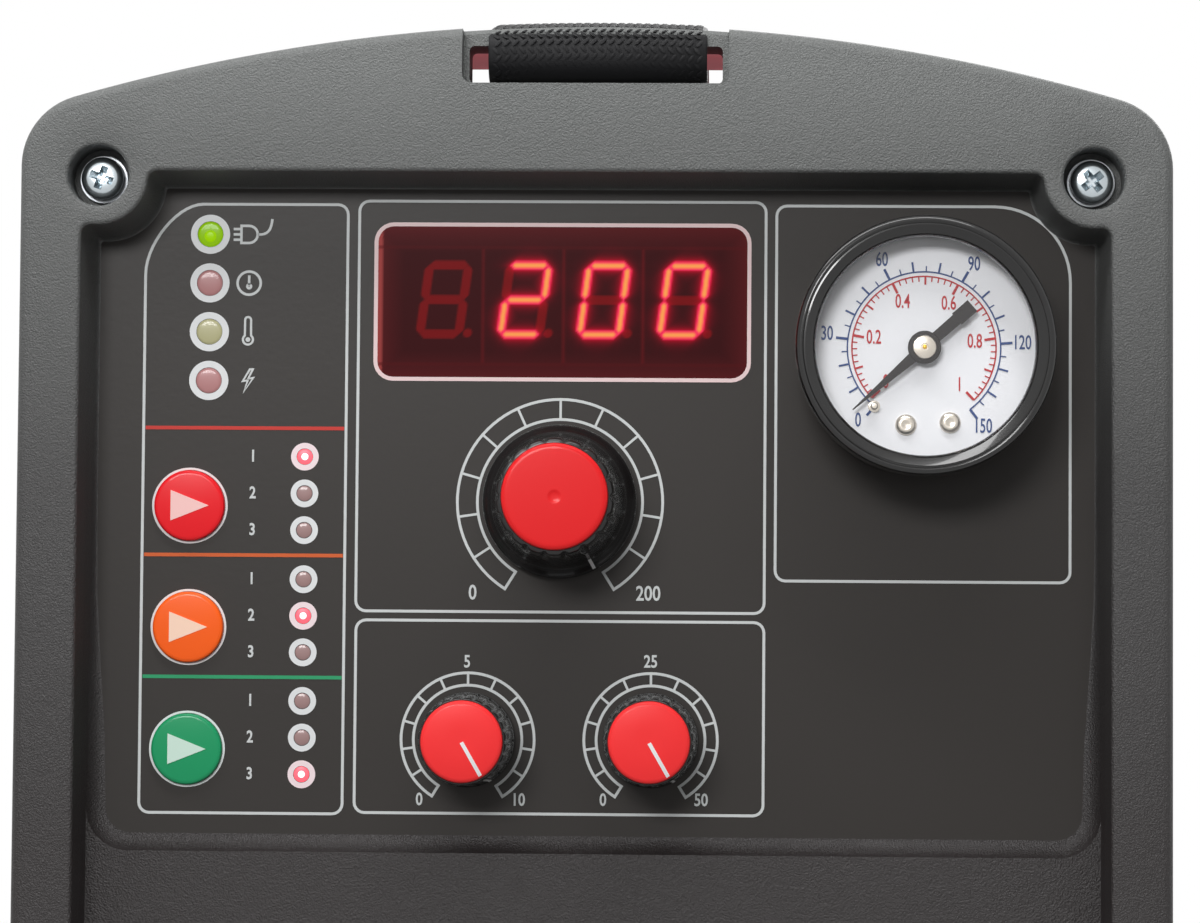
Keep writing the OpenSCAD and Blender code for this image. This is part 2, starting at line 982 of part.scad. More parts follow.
module amps_knob() {
  color([0.06, 0.06, 0.06])
  on_panel(amps_xz)
    knob(10.4, amps_knob_h, amps_skirt_r, amps_cap_r, 30);
}

module amps_cap() {
  color([0.85, 0.1, 0.1])
  on_panel(amps_xz)
    cap(amps_cap_r, amps_knob_h);
}

module amps_shaft() {
  color([0.75, 0.75, 0.77])
  on_panel(amps_xz)
    shaft(amps_knob_h);
}

module small_knob(p) {
  color([0.06, 0.06, 0.06])
  on_panel(p)
    knob(small_knob_r, small_knob_h, 0, small_cap_r, 24);
}

module small_cap(p) {
  color([0.85, 0.1, 0.1])
  on_panel(p)
    cap(small_cap_r, small_knob_h);
}

module small_shaft(p) {
  color([0.75, 0.75, 0.77])
  on_panel(p)
    shaft(small_knob_h);
}

module dial_pots() {
  color([0.5, 0.5, 0.52])
  for (p = [amps_xz, slope_xz, flow_xz])
    on_panel(p)
      difference() {
        union() {
          translate([0, 0, -panel_t - 8])
            cylinder(r = 8, h = 8);
          translate([0, 0, -panel_t - 1])
            cylinder(r = bushing_r, h = panel_t + 3.6);
          translate([-5, -10.5, -panel_t - 8])
            cube([10, 4, 1.6]);
        }
        translate([0, 0, -panel_t - 6.5])
          cylinder(r = shaft_r + run, h = 20);
      }
}

module pot_nuts() {
  color([0.7, 0.68, 0.6])
  for (p = [amps_xz, slope_xz, flow_xz])
    on_panel(p)
      difference() {
        union() {
          cylinder(r = 6.4, h = 0.6);
          translate([0, 0, 0.6])
            cylinder(r = 6.3, h = 1.8, $fn = 6);
        }
        translate([0, 0, -1])
          cylinder(r = bushing_r + run, h = 5);
      }
}

// ---------- pressure gauge ----------

dial_h = 13.2;
hub_h = 14.6;

module gauge_case() {
  color([0.05, 0.05, 0.05])
  on_panel(gauge_xz)
    difference() {
      cylinder(r = gauge_r - 0.75, h = gauge_h - 5);
      translate([0, 0, 2])
        cylinder(r = gauge_r - 2, h = gauge_h);
      translate([0, 0, -1])
        cylinder(r = 4.6, h = 5);
    }
}

module gauge_rim() {
  color([0.05, 0.05, 0.05])
  on_panel(gauge_xz)
    difference() {
      union() {
        translate([0, 0, gauge_h - 7])
          cylinder(r = gauge_r, h = 6);
        translate([0, 0, gauge_h - 1])
          cylinder(r = gauge_r - 0.7, h = 1);
      }
      translate([0, 0, gauge_h - 8])
        cylinder(r = gauge_r - 0.7, h = 5);
      translate([0, 0, gauge_h - 3.1])
        cylinder(r = gauge_r - 1.9, h = 1.6);
      translate([0, 0, gauge_h - 2])
        cylinder(r = 17.8, h = 4);
    }
}

module gauge_dial() {
  color([0.93, 0.94, 0.95])
  on_panel(gauge_xz)
    difference() {
      translate([0, 0, dial_h - 0.6])
        cylinder(r = gauge_r - 2.1, h = 0.6);
      translate([0, 0, dial_h - 2])
        cylinder(r = 1.3, h = 4);
      for (p = [[-2.9, -12.6], [4.3, -12.2]])
        translate([p[0], p[1], dial_h - 2])
          cylinder(r = 1.1, h = 4);
      translate([-8.1, -9.6, dial_h - 2])
        cylinder(r = 0.55, h = 4);
    }
}

module gauge_studs() {
  color([0.75, 0.73, 0.7])
  on_panel(gauge_xz) {
    for (p = [[-2.9, -12.6], [4.3, -12.2]])
      translate([p[0], p[1], 2]) {
        cylinder(r = 1, h = dial_h - 2 + 0.1);
        translate([0, 0, dial_h - 2])
          cylinder(r = 1.7, h = 0.7);
      }
    translate([-8.1, -9.6, 2])
      cylinder(r = 0.5, h = dial_h);
  }
}

module gauge_glass() {
  color([0.9, 0.95, 1, 0.3])
  on_panel(gauge_xz)
    translate([0, 0, gauge_h - 3.1])
      cylinder(r = gauge_r - 2, h = 1.1);
}

module gauge_needle() {
  color([0.06, 0.06, 0.07])
  on_panel(gauge_xz) {
    translate([0, 0, hub_h])
      linear_extrude(height = 0.5)
        rotate(needle_deg)
          polygon([[15.6, 0.2], [3, 0.8], [-7, 0.8], [-7, 1.3], [-10.4, 1.3],
                   [-10.4, -1.3], [-7, -1.3], [-7, -0.8], [3, -0.8], [15.6, -0.2]]);
    translate([0, 0, hub_h - 0.2])
      cylinder(r = 2.3, h = 1);
    translate([0, 0, hub_h + 0.5])
      cylinder(r = 1.8, h = 1);
    translate([0, 0, 4])
      cylinder(r = 0.8, h = hub_h - 3);
  }
}

module gauge_stem() {
  color([0.8, 0.6, 0.25])
  on_panel(gauge_xz) {
    difference() {
      union() {
        translate([0, 0, -14])
          cylinder(r = 4.5, h = 18);
        translate([0, 0, -panel_t - 5])
          cylinder(r = 8.1, h = 4.6, $fn = 6);
        translate([0, 0, 2])
          cylinder(r = 6, h = 2);
      }
      translate([0, 0, -15])
        cylinder(r = 2, h = 16);
      translate([0, 0, 3.9])
        cylinder(r = 0.85, h = 5);
      translate([0, 0, 2.5])
        cylinder(r = 0.85, h = 5);
    }
  }
}

// ---------- lower front ----------

module socket_bodies() {
  color([0.06, 0.06, 0.06])
  for (s = [-1, 1]) {
    difference() {
      union() {
        rod_y(s*socket_x, socket_z, 19, lower_y - 4, lower_y);
        rod_y(s*socket_x, socket_z, 15, lower_y - 12, lower_y - 3);
        rod_y(s*socket_x, socket_z, 13.8, lower_y - 1, lower_y + 24);
      }
      rod_y(s*socket_x, socket_z, 9.3, lower_y - 14, lower_y + 21);
      rod_y(s*socket_x, socket_z, 5.2, lower_y, lower_y + 30);
      // key slot for the twist-lock plug
      translate([s*socket_x - 2.6, lower_y - 14, socket_z])
        cube([5.2, 11, 11.6]);
    }
    hex_y(s*socket_x, socket_z, 33, 13.85, lower_y + wall, lower_y + wall + 6);
  }
}

module socket_inserts() {
  color([0.83, 0.65, 0.3])
  for (s = [-1, 1]) {
    difference() {
      union() {
        rod_y(s*socket_x, socket_z, 9.1, lower_y - 10, lower_y + 20.8);
        rod_y(s*socket_x, socket_z, 5, lower_y + 19, bus_y + 10.3);
      }
      rod_y(s*socket_x, socket_z, socket_bore_r, lower_y - 12, lower_y + 17);
      translate([s*socket_x - 2.2, lower_y - 12, socket_z])
        cube([4.4, 8, 12]);
    }
    hex_y(s*socket_x, socket_z, 17, 5.05, lower_y + 24.2, lower_y + 30);
    hex_y(s*socket_x, socket_z, 17, 5.05, bus_y + 3.3, bus_y + 9.3);
  }
}

module gas_outlet() {
  color([0.83, 0.65, 0.3]) {
    difference() {
      union() {
        rod_y(0, socket_z, 7.9, lower_y - 1, lower_y + 12);
        hex_y(0, socket_z, 22, 1, lower_y - 6, lower_y);
        rod_y(0, socket_z, 6.5, lower_y - 17, lower_y - 5);
        rod_y(0, socket_z, 4.5, lower_y + 11, lower_y + 30);
      }
      rod_y(0, socket_z, gas_bore_r, lower_y - 18, lower_y + 8);
      rod_y(0, socket_z, 2, lower_y, lower_y + 31);
    }
    hex_y(0, socket_z, 22, 7.95, lower_y + wall, lower_y + wall + 5);
  }
}

module control_socket() {
  color([0.45, 0.46, 0.48]) {
    difference() {
      union() {
        slab(lower_y - 2.5, lower_y)
          round_rect(-13.5, ctrl_z - 13.5, 13.5, ctrl_z + 13.5, 3);
        rod_y(0, ctrl_z, 10, lower_y - 10, lower_y + 16);
      }
      rod_y(0, ctrl_z, 8.6, lower_y - 11, lower_y - 3);
      for (i = [0:5])
        rod_y(5.4*cos(60*i), ctrl_z + 5.4*sin(60*i), 1.1, lower_y - 4, lower_y + 8);
      rod_y(0, ctrl_z, 1.1, lower_y - 4, lower_y + 8);
      for (x = [-10.5, 10.5], z = [-10.5, 10.5])
        rod_y(x, ctrl_z + z, 1.6, lower_y - 4, lower_y + 1);
    }
  }
}

// ---------- rear ----------

fan_y0 = rear_inner_y - fan_d;

module fan_frame() {
  color([0.08, 0.08, 0.08])
  difference() {
    union() {
      slab(fan_y0, rear_inner_y)
        difference() {
          translate([0, fan_z - fan_w/2])
            round_rect(-fan_w/2, 0, fan_w/2, fan_w, 5);
          translate([0, fan_z])
            circle(r = fan_w/2 - 3);
        }
      // motor seat and its struts
      slab(fan_y0, fan_y0 + 4) {
        translate([0, fan_z])
          circle(r = 20);
        for (a = [45, 135, 225, 315])
          translate([0, fan_z])
            rotate(a)
              translate([0, -2.5])
                square([fan_w/2 - 2, 5]);
      }
    }
    for (sx = [-1, 1], sz = [-1, 1])
      rod_y(sx*(fan_w/2 - 7.5), fan_z + sz*(fan_w/2 - 7.5), 2.2, fan_y0 - 1, rear_inner_y + 1);
    rod_y(0, fan_z, 2 + run, fan_y0 + 1, rear_inner_y);
  }
}

module fan_rotor() {
  color([0.1, 0.1, 0.1]) {
    difference() {
      rod_y(0, fan_z, 21, fan_y0 + 5, rear_inner_y - 1.5);
      rod_y(0, fan_z, 19, fan_y0 + 4, rear_inner_y - 4);
    }
    rod_y(0, fan_z, 2, fan_y0 + 1.5, rear_inner_y - 2);
    intersection() {
      tube_y(0, fan_z, fan_w/2 - 4.5, 20.5, fan_y0 + 6, rear_inner_y - 3);
      for (i = [0:6])
        translate([0, (fan_y0 + rear_inner_y)/2 + 1, fan_z])
          rotate([0, 360*i/7, 0])
            translate([37, 0, 0])
              rotate([40, 0, 0])
                cube([40, 30, 2.2], center = true);
    }
  }
}

module ring(r, t) {
  rotate_extrude()
    translate([r, 0])
      circle(r = t, $fn = 24);
}

grille_y = rear_face_y + 2.4;
grille_in = 15;      // radius of the innermost wire ring
grille_pitch = (fan_w/2 - 2 - grille_in)/5;

module fan_grille() {
  color([0.7, 0.7, 0.72])
  difference() {
    union() {
      translate([0, grille_y, fan_z])
        rotate([90, 0, 0]) {
          for (i = [0:5])
            ring(grille_in + grille_pitch*i, 1.1);
          for (a = [0, 90, 180, 270])
            rotate([0, 0, a + 45])
              translate([grille_in - 1, 0, -1.2])
                rotate([0, 90, 0])
                  cylinder(r = 1.1, h = (fan_w/2 - 7.5)*sqrt(2) - grille_in - 2.8);
        }
      for (sx = [-1, 1], sz = [-1, 1])
        tube_y(sx*(fan_w/2 - 7.5), fan_z + sz*(fan_w/2 - 7.5), 4, 2.2, rear_face_y, rear_face_y + 2.4);
    }
    for (sx = [-1, 1], sz = [-1, 1])
      rod_y(sx*(fan_w/2 - 7.5), fan_z + sz*(fan_w/2 - 7.5), 2.2, rear_face_y - 1, rear_face_y + 6);
  }
}

module switch_housing() {
  color([0.06, 0.06, 0.06])
  difference() {
    union() {
      slab(rear_face_y, rear_face_y + 2.5)
        translate([rocker_x, rocker_z])
          round_rect(-15.5, -17.5, 15.5, 17.5, 3);
      slab(rear_inner_y - 20, rear_face_y + 0.1)
        translate([rocker_x, rocker_z])
          round_rect(-13, -14.6, 13, 14.6, 2);
    }
    slab(rear_inner_y - 8, rear_face_y + 4)
      translate([rocker_x - 10, rocker_z - 11.5])
        square([20, 23]);
    side_slab(rocker_x - 12.2, rocker_x + 12.2)
      translate([rocker_y, rocker_z])
        circle(r = 1.5 + run);
  }
}

rocker_y = rear_face_y - 3;
rocker_deg = 9;

// Rocker, tilted fully to its upper side at rest; its side pins turn in the housing
module switch_rocker() {
  color([0.75, 0.08, 0.08])
  translate([0, rocker_y, rocker_z])
    rotate([rocker_deg, 0, 0]) {
      side_slab(rocker_x - 9.6, rocker_x + 9.6)
        polygon([[-4, -4], [-4, 4], [2, 10.4], [5.5, 10.4], [4.2, 0], [5.5, -10.4], [2, -10.4]]);
      side_slab(rocker_x - 12, rocker_x + 12)
        circle(r = 1.5);
    }
}

stud_r = 3;
stud_core = 2.5;     // thread root, where the nuts hold it
stud_out = 13.4;     // nutted length of the ground stud
stud_free = 10.6;    // length left for a ring terminal

module rear_fittings() {
  // cable gland, left empty
  color([0.08, 0.08, 0.08]) {
    difference() {
      union() {
        rod_y(gland_xz[0], gland_xz[1], 8, rear_inner_y - 8, rear_face_y + 1);
        hex_y(gland_xz[0], gland_xz[1], 22, 1, rear_face_y, rear_face_y + 6);
        rod_y(gland_xz[0], gland_xz[1], 10, rear_face_y + 5, rear_face_y + 18);
      }
      rod_y(gland_xz[0], gland_xz[1], 5.5, rear_inner_y - 9, rear_face_y + 20);
    }
    hex_y(gland_xz[0], gland_xz[1], 21, 8.05, rear_inner_y - 5, rear_inner_y);
  }
  // ground stud with its nuts
  color([0.83, 0.65, 0.3]) {
    rod_y(stud_xz[0], stud_xz[1], stud_core, rear_inner_y - 9, rear_face_y + stud_out);
    rod_y(stud_xz[0], stud_xz[1], stud_r, rear_face_y + stud_out, rear_face_y + stud_out + stud_free);
    for (y = [rear_inner_y - 5, rear_face_y, rear_face_y + 8])
      hex_y(stud_xz[0], stud_xz[1], 10, stud_core + 0.02, y, y + 5);
  }
  // fan screws
  color([0.75, 0.75, 0.76])
  for (sx = [-1, 1], sz = [-1, 1]) {
    rod_y(sx*(fan_w/2 - 7.5), fan_z + sz*(fan_w/2 - 7.5), 2, fan_y0 - 5, rear_face_y + 3);
    rod_y(sx*(fan_w/2 - 7.5), fan_z + sz*(fan_w/2 - 7.5), 3.6, rear_face_y + 2.4, rear_face_y + 4.8);
    hex_y(sx*(fan_w/2 - 7.5), fan_z + sz*(fan_w/2 - 7.5), 7, 1.9, fan_y0 - 3.2, fan_y0);
  }
}

reg_y = (rear_y + 1 + overall_len/2 - 12)/2;
reg_half = overall_len/2 - 12 - reg_y;

module regulator_body() {
  color([0.75, 0.76, 0.78])
  difference() {
    union() {
      translate([reg_x - 17, reg_y - reg_half, reg_z - 14])
        cube([34, 2*reg_half, 28]);
      translate([reg_x, reg_y, reg_z + 13])
        cylinder(r = 13, h = 5);
      translate([reg_x, reg_y, reg_z - 17])
        cylinder(r = 14, h = 4);
      // inlet and outlet necks
      hex_y(reg_x, reg_z, 19, 1, overall_len/2 - 13, overall_len/2 - 5);
      rod_y(reg_x, reg_z, 6.6, overall_len/2 - 6, overall_len/2);
      rod_y(reg_x, reg_z, 9, rear_face_y, reg_y - reg_half + 1);
      rod_y(reg_x, reg_z, 6.5, rear_inner_y - 7, rear_face_y + 1);
    }
    rod_y(reg_x, reg_z, inlet_bore_r, reg_y + 4, overall_len/2 + 1);
    rod_y(reg_x, reg_z, 3, rear_inner_y - 15, reg_y - 4);
    translate([reg_x, reg_y, reg_z + 3])
      cylinder(r = 3 + run, h = 30);
  }
}

module regulator_knob() {
  color([0.06, 0.06, 0.06])
  translate([reg_x, reg_y, reg_z + 18.3]) {
    linear_extrude(height = 20)
      difference() {
        circle(r = 14.5);
        for (i = [0:23])
          rotate(15*i)
            translate([15, 0])
              circle(r = 1.2, $fn = 24);
      }
    translate([0, 0, -12])
      cylinder(r = 3, h = 13);
    translate([0, 0, 20])
      cylinder(r = 11, h = 2);
  }
}

module regulator_bowl() {
  color([0.7, 0.8, 0.85])
  translate([reg_x, reg_y, reg_z - 17]) {
    difference() {
      union() {
        translate([0, 0, -34])
          cylinder(r = 12.5, h = 34);
        translate([0, 0, -38])
          cylinder(r = 9, h = 4);
        translate([0, 0, -46])
          cylinder(r = 3.5, h = 9);
      }
      translate([0, 0, -32])
        cylinder(r = 10.5, h = 33);
    }
  }
}

// ---------- inside ----------

module pipe(pts, r) {
  for (i = [0:len(pts) - 2]) {
    d = pts[i + 1] - pts[i];
    l = norm(d);
    translate(pts[i])
      rotate([0, acos(d[2]/l), atan2(d[1], d[0])])
        cylinder(r = r, h = l);
  }
  for (i = [1:len(pts) - 2])
    translate(pts[i])
      sphere(r = r + 0.8);
}

sink_z0 = floor_z + 20;
sink_h = 96;
board_z = sink_z0 + sink_h;
sink_y0 = -110;
sink_y1 = 90;

module heatsinks() {
  color([0.75, 0.76, 0.78])
  for (x0 = [-78, 22])
    slab(sink_y0, sink_y1)
      translate([x0, sink_z0]) {
        translate([0, sink_h - 7])
          square([56, 7]);
        for (i = [0:7])
          translate([7.7*i, 0])
            square([2.1, sink_h - 6]);
      }
}

module capacitors() {
  color([0.1, 0.12, 0.3])
  for (x = [-60, -26], y = [20, 56])
    translate([x, y, board_z + 2]) {
      cylinder(r = 15, h = 48);
      translate([0, 0, 48])
        cylinder(r = 13.5, h = 1);
    }
}

core = [60, 60, 30];
core_pos = [12, 6];

module transformer_core() {
  color([0.15, 0.15, 0.16])
  translate([core_pos[0], core_pos[1], board_z + 2])
    difference() {
      cube(core);
      translate([12, -1, 8])
        cube([core[0] - 24, core[1] + 2, 14]);
    }
}

// Transformer winding, choke winding and the two bus bars from the output studs
module copper_parts() {
  color([0.75, 0.45, 0.15]) {
    translate([core_pos[0] + 12 + seat, core_pos[1] - 6, board_z + 10 + seat])
      cube([core[0] - 24 - 2*seat, core[1] + 12, 14 - 2*seat]);
    translate([38, -60, board_z + 14])
      rotate_extrude()
        translate([22, 0])
          circle(r = 12);
    for (s = [-1, 1])
      difference() {
        union() {
          translate([s*socket_x - 6, bus_y, socket_z - 10])
            cube([12, 3, board_z + 5 - socket_z + 10]);
          translate([s*socket_x - 6, bus_y, board_z + 2])
            cube([12, 54, 3]);
        }
        rod_y(s*socket_x, socket_z, 5.15, bus_y - 2, bus_y + 6);
      }
  }
}

// Rails under the heatsinks, potted arc starter and its relay
module inner_blocks() {
  color([0.1, 0.1, 0.1]) {
    for (y = [-90, 60])
      translate([-80, y, floor_z])
        cube([160, 16, 20]);
    translate([-70, -98, board_z + 2])
      cube([62, 50, 32]);
    translate([-66, -40, board_z + 2])
      cube([26, 30, 24]);
  }
}

valve_y1 = rear_plate_y;
valve_y0 = valve_y1 - 30;

module gas_valve() {
  color([0.83, 0.65, 0.3])
  difference() {
    union() {
      translate([reg_x - 11, valve_y0, reg_z - 11])
        cube([22, valve_y1 - valve_y0, 20]);
      rod_y(reg_x, reg_z, 4, valve_y1 - 1, rear_inner_y - 7 - seat);
      rod_y(reg_x, reg_z + 4, 2.4, valve_y0 - 8, valve_y0 + 1);
      rod_y(reg_x + 4, reg_z - 6, 2.4, valve_y0 - 8, valve_y0 + 1);
      translate([reg_x, valve_y0 + 13, reg_z + 8])
        cylinder(r = 10, h = 28);
    }
    rod_y(reg_x, reg_z, 2.5, valve_y1 - 10, rear_inner_y);
  }
}

tube_r = 3;
tube_bore = 2.45;

// Straight tube runs joined by ball corners, with bored ends that slip over their nipples
module tube_run(pts) {
  last = len(pts) - 1;
  difference() {
    pipe(pts, tube_r);
    translate(pts[0])
      rotate([90, 0, 0])
        translate([0, 0, -1])
          cylinder(r = tube_bore, h = 9);
  }
}

// Air tubes from the valve to the gauge and to the torch outlet
module air_tubes() {
  color([0.15, 0.35, 0.75]) {
    tube_run([[reg_x, valve_y0 - seat, reg_z + 4], [reg_x, valve_y0 - 25, reg_z + 4],
              [gauge_xz[0], valve_y0 - 60, art_z + gauge_xz[1]],
              [gauge_xz[0], panel_y + 14 + seat, art_z + gauge_xz[1]]]);
    tube_run([[reg_x + 4, valve_y0 - seat, reg_z - 6], [reg_x + 4, valve_y0 - 25, reg_z - 6],
              [72, valve_y0 - 60, reg_z - 22], [72, front_plate_y + 25, reg_z - 22],
              [0, front_plate_y + 25, 110], [0, front_plate_y + 20, socket_z],
              [0, lower_y + 30 + seat, socket_z]]);
  }
}

front_bezel();
rear_bezel();
cover();
base_tray();
end_plates();
feet();
case_screws();
nuts();
corner_screws();
washers();
carry_strap();
strap_brackets();
control_panel();
display_window();
digit_modules();
status_lamps();
mode_lamps();
mode_button();
remote_button();
pulse_button();
boards();
board_parts();
amps_knob();
amps_cap();
amps_shaft();
small_knob(slope_xz);  // slope_knob
small_cap(slope_xz);  // slope_cap
small_shaft(slope_xz);  // slope_shaft
small_knob(flow_xz);  // flow_knob
small_cap(flow_xz);  // flow_cap
small_shaft(flow_xz);  // flow_shaft
dial_pots();
pot_nuts();
gauge_case();
gauge_rim();
gauge_dial();
gauge_studs();
gauge_glass();
gauge_needle();
gauge_stem();
socket_bodies();
socket_inserts();
gas_outlet();
control_socket();
fan_frame();
fan_rotor();
fan_grille();
switch_housing();
switch_rocker();
rear_fittings();
regulator_body();
regulator_knob();
regulator_bowl();
heatsinks();
capacitors();
transformer_core();
copper_parts();
inner_blocks();
gas_valve();
air_tubes();
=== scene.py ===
# %% [markdown]
# # A TIG welding machine
# The machine is a portable inverter power source: two moulded black bezels, a red sheet-steel
# cover between them, a webbing strap over the top and a control panel sunk into the front.
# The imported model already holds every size, joint and mount. This lesson gives it its looks,
# one piece at a time, and never moves or resizes anything.

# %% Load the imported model
import math

import bmesh
import bpy
from mathutils import Matrix, Vector
from mathutils.geometry import delaunay_2d_cdt


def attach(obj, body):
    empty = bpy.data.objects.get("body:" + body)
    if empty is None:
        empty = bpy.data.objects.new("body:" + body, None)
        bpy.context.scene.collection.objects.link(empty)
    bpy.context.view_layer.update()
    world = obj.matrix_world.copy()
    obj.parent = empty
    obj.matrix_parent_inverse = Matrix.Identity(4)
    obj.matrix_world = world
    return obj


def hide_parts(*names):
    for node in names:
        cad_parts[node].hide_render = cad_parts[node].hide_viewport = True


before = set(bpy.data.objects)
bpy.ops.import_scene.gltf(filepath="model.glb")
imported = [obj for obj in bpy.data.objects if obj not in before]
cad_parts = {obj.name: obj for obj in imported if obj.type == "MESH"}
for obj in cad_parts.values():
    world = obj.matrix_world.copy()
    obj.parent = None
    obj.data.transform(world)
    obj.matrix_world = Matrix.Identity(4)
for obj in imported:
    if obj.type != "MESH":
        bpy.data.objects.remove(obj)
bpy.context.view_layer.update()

# %% [markdown]
# ## Sizes
# All lengths below are millimetres, as on a drawing, and become metres only when a mesh is made.
# Y runs from the panel to the rear, so the front rim has the lowest Y of the case.

# %% Sizes of the case
MM = 0.001
CASE_H, HALF_W, ARCH_R = 300.0, 95.0, 310.0
ARCH_Z = CASE_H - ARCH_R
SHOULDER_R, FOOT_R, FOOT_H = 12.0, 6.0, 12.0
PANEL_Y, REAR_Y = -186.7, 162.0
LIP_Y = PANEL_Y - 12.0
ART_Z = 220.0
SCREW_X, SCREW_TOP_Z, SCREW_LOW_Z = 82.0, 274.5, 27.0
SCREWS = [(side * SCREW_X, z) for z in (SCREW_TOP_Z, SCREW_LOW_Z) for side in (-1, 1)]
NOTCH_HALF, NOTCH_Z, BAR_Z = 22.0, 290.0, 296.7

# %% [markdown]
# ## Making a mesh
# Nearly every piece is either a stack of rings, a flat shape with holes, or a ribbon along a
# path. Outlines are lists of (x, z) points. The helpers that make shapes return plain lists of
# corners and faces, which can be added together before one mesh is made of them.

# %% Helpers for shapes
def loft(rings, cap_start=True, cap_end=True, wrap=True):
    """Joins rings of equal counts into one skin and closes the ends that are asked for."""
    count = len(rings[0])
    corners = [p for ring in rings for p in ring]
    faces = []
    for a in range(0, len(corners) - count, count):
        for i in range(count if wrap else count - 1):
            j = (i + 1) % count
            faces.append((a + i, a + j, a + count + j, a + count + i))
    if cap_start:
        faces.append(tuple(reversed(range(count))))
    if cap_end:
        faces.append(tuple(range(len(corners) - count, len(corners))))
    return corners, faces


def together(*parts):
    corners, faces = [], []
    for part_corners, part_faces in parts:
        base = len(corners)
        corners += part_corners
        faces += [tuple(i + base for i in f) for f in part_faces]
    return corners, faces


def inside(x, z, loops):
    hit = False
    for loop in loops:
        for i, (x0, z0) in enumerate(loop):
            x1, z1 = loop[i - 1]
            if (z0 > z) != (z1 > z) and x < (x1 - x0) * (z - z0) / (z1 - z0) + x0:
                hit = not hit
    return hit


def flat(loops, y):
    """Fills the first loop, less the others, at one depth."""
    points, edges = [], []
    for loop in loops:
        base = len(points)
        points += [Vector(p) for p in loop]
        edges += [(base + i, base + (i + 1) % len(loop)) for i in range(len(loop))]
    spots, _, cells = delaunay_2d_cdt(points, edges, [], 0, 1e-6)[:3]
    faces = []
    for cell in cells:
        mid = sum((spots[i] for i in cell), Vector((0, 0))) / len(cell)
        if inside(mid.x, mid.y, loops):
            faces.append(tuple(cell))
    return [(p.x, y, p.y) for p in spots], faces


def at_depth(loop, y):
    return [(x, y, z) for x, z in loop]


def plate(loops, y_front, y_back):
    walls = [loft([at_depth(l, y_front), at_depth(l, y_back)], False, False) for l in loops]
    return together(flat(loops, y_front), flat(loops, y_back), *walls)


def arc(cx, cz, r, start, end, steps):
    turn = [math.radians(start + (end - start) * i / steps) for i in range(steps + 1)]
    return [(cx + r * math.cos(a), cz + r * math.sin(a)) for a in turn]


def circle(cx, cz, r, steps=64):
    return arc(cx, cz, r, 0, 360, steps)[:-1]


def rounded(x0, z0, x1, z1, r, steps=6):
    middles = ((x1 - r, z1 - r), (x0 + r, z1 - r), (x0 + r, z0 + r), (x1 - r, z0 + r))
    return [p for k, middle in enumerate(middles)
            for p in arc(*middle, r, 90 * k, 90 * k + 90, steps)]


def between(start, end, parts):
    """The points that divide a straight run into equal parts, without its ends."""
    return [tuple(a + (b - a) * i / parts for a, b in zip(start, end)) for i in range(1, parts)]


def mirrored(path):
    """The other half of a symmetrical outline, walked the same way round."""
    return [(-x, z) for x, z in reversed(path)]


def clamp(value):
    return min(1.0, max(0.0, value))


def turned(profile, x, z, steps=64):
    """Turns (radius, height) pairs round an axis that stands on the panel at (x, z)."""
    rings = [at_depth(circle(x, ART_Z + z, r, steps), PANEL_Y - h) for r, h in profile]
    return loft(rings, profile[0][0] > 0, profile[-1][0] > 0)


def block(x0, y0, z0, x1, y1, z1):
    ring = [(x0, z0), (x1, z0), (x1, z1), (x0, z1)]
    return loft([at_depth(ring, y0), at_depth(ring, y1)])


def ribbon(path, width, y_front, thick=0.06, closed=False):
    """A printed line: a thin bar of even width along a path on the panel."""
    count = len(path)
    rings = []
    for i, (x, z) in enumerate(path):
        x0, z0 = path[(i - 1) % count] if closed or i else path[0]
        x1, z1 = path[(i + 1) % count] if closed or i < count - 1 else path[-1]
        a = Vector((x - x0, z - z0))
        b = Vector((x1 - x, z1 - z))
        a = a.normalized() if a.length > 1e-9 else b.normalized()
        b = b.normalized() if b.length > 1e-9 else a
        mid = a + b
        mid = mid.normalized() if mid.length > 1e-6 else a
        side = Vector((-mid.y, mid.x))
        stretch = 1 / max(0.5, side.dot(Vector((-a.y, a.x))))
        h = width / 2 * stretch
        left, right = (x + side.x * h, z + side.y * h), (x - side.x * h, z - side.y * h)
        rings.append([(left[0], y_front, left[1]), (right[0], y_front, right[1]),
                      (right[0], y_front + thick, right[1]), (left[0], y_front + thick, left[1])])
    if closed:
        rings.append(rings[0])
        return loft(rings, False, False)
    return loft(rings)


# %% [markdown]
# ## From a shape to a finished piece
# A piece gets its material, shading that stays crisp at real edges and the moving body it rides
# on;
# the plain CAD nodes that it stands for are hidden.

# %% Helpers for pieces
WELD, CRISP = 2e-6, 38


def placed(name, data):
    obj = bpy.data.objects.new(name, data)
    bpy.context.scene.collection.objects.link(obj)
    return obj


def baked(obj):
    """The plain mesh that an object's modifiers or text give."""
    view = bpy.context.evaluated_depsgraph_get()
    return bpy.data.meshes.new_from_object(obj.evaluated_get(view))


def painted(obj, material):
    obj.data.materials.clear()
    obj.data.materials.append(material)


def coat(material, *nodes):
    """Keeps the CAD mesh of these nodes and gives it a finish."""
    for name in nodes:
        painted(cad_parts[name], material)


def smoothed(mesh, crisp):
    """Smooth shading, broken at edges that turn by more than crisp degrees."""
    mesh.polygons.foreach_set("use_smooth", [True] * len(mesh.polygons))
    mesh.set_sharp_from_angle(angle=math.radians(crisp))


def finished(obj, material, body, *nodes):
    painted(obj, material)
    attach(obj, body)
    if nodes:
        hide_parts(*nodes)
    print(f"{obj.name}: {len(obj.data.polygons)} faces")
    return obj


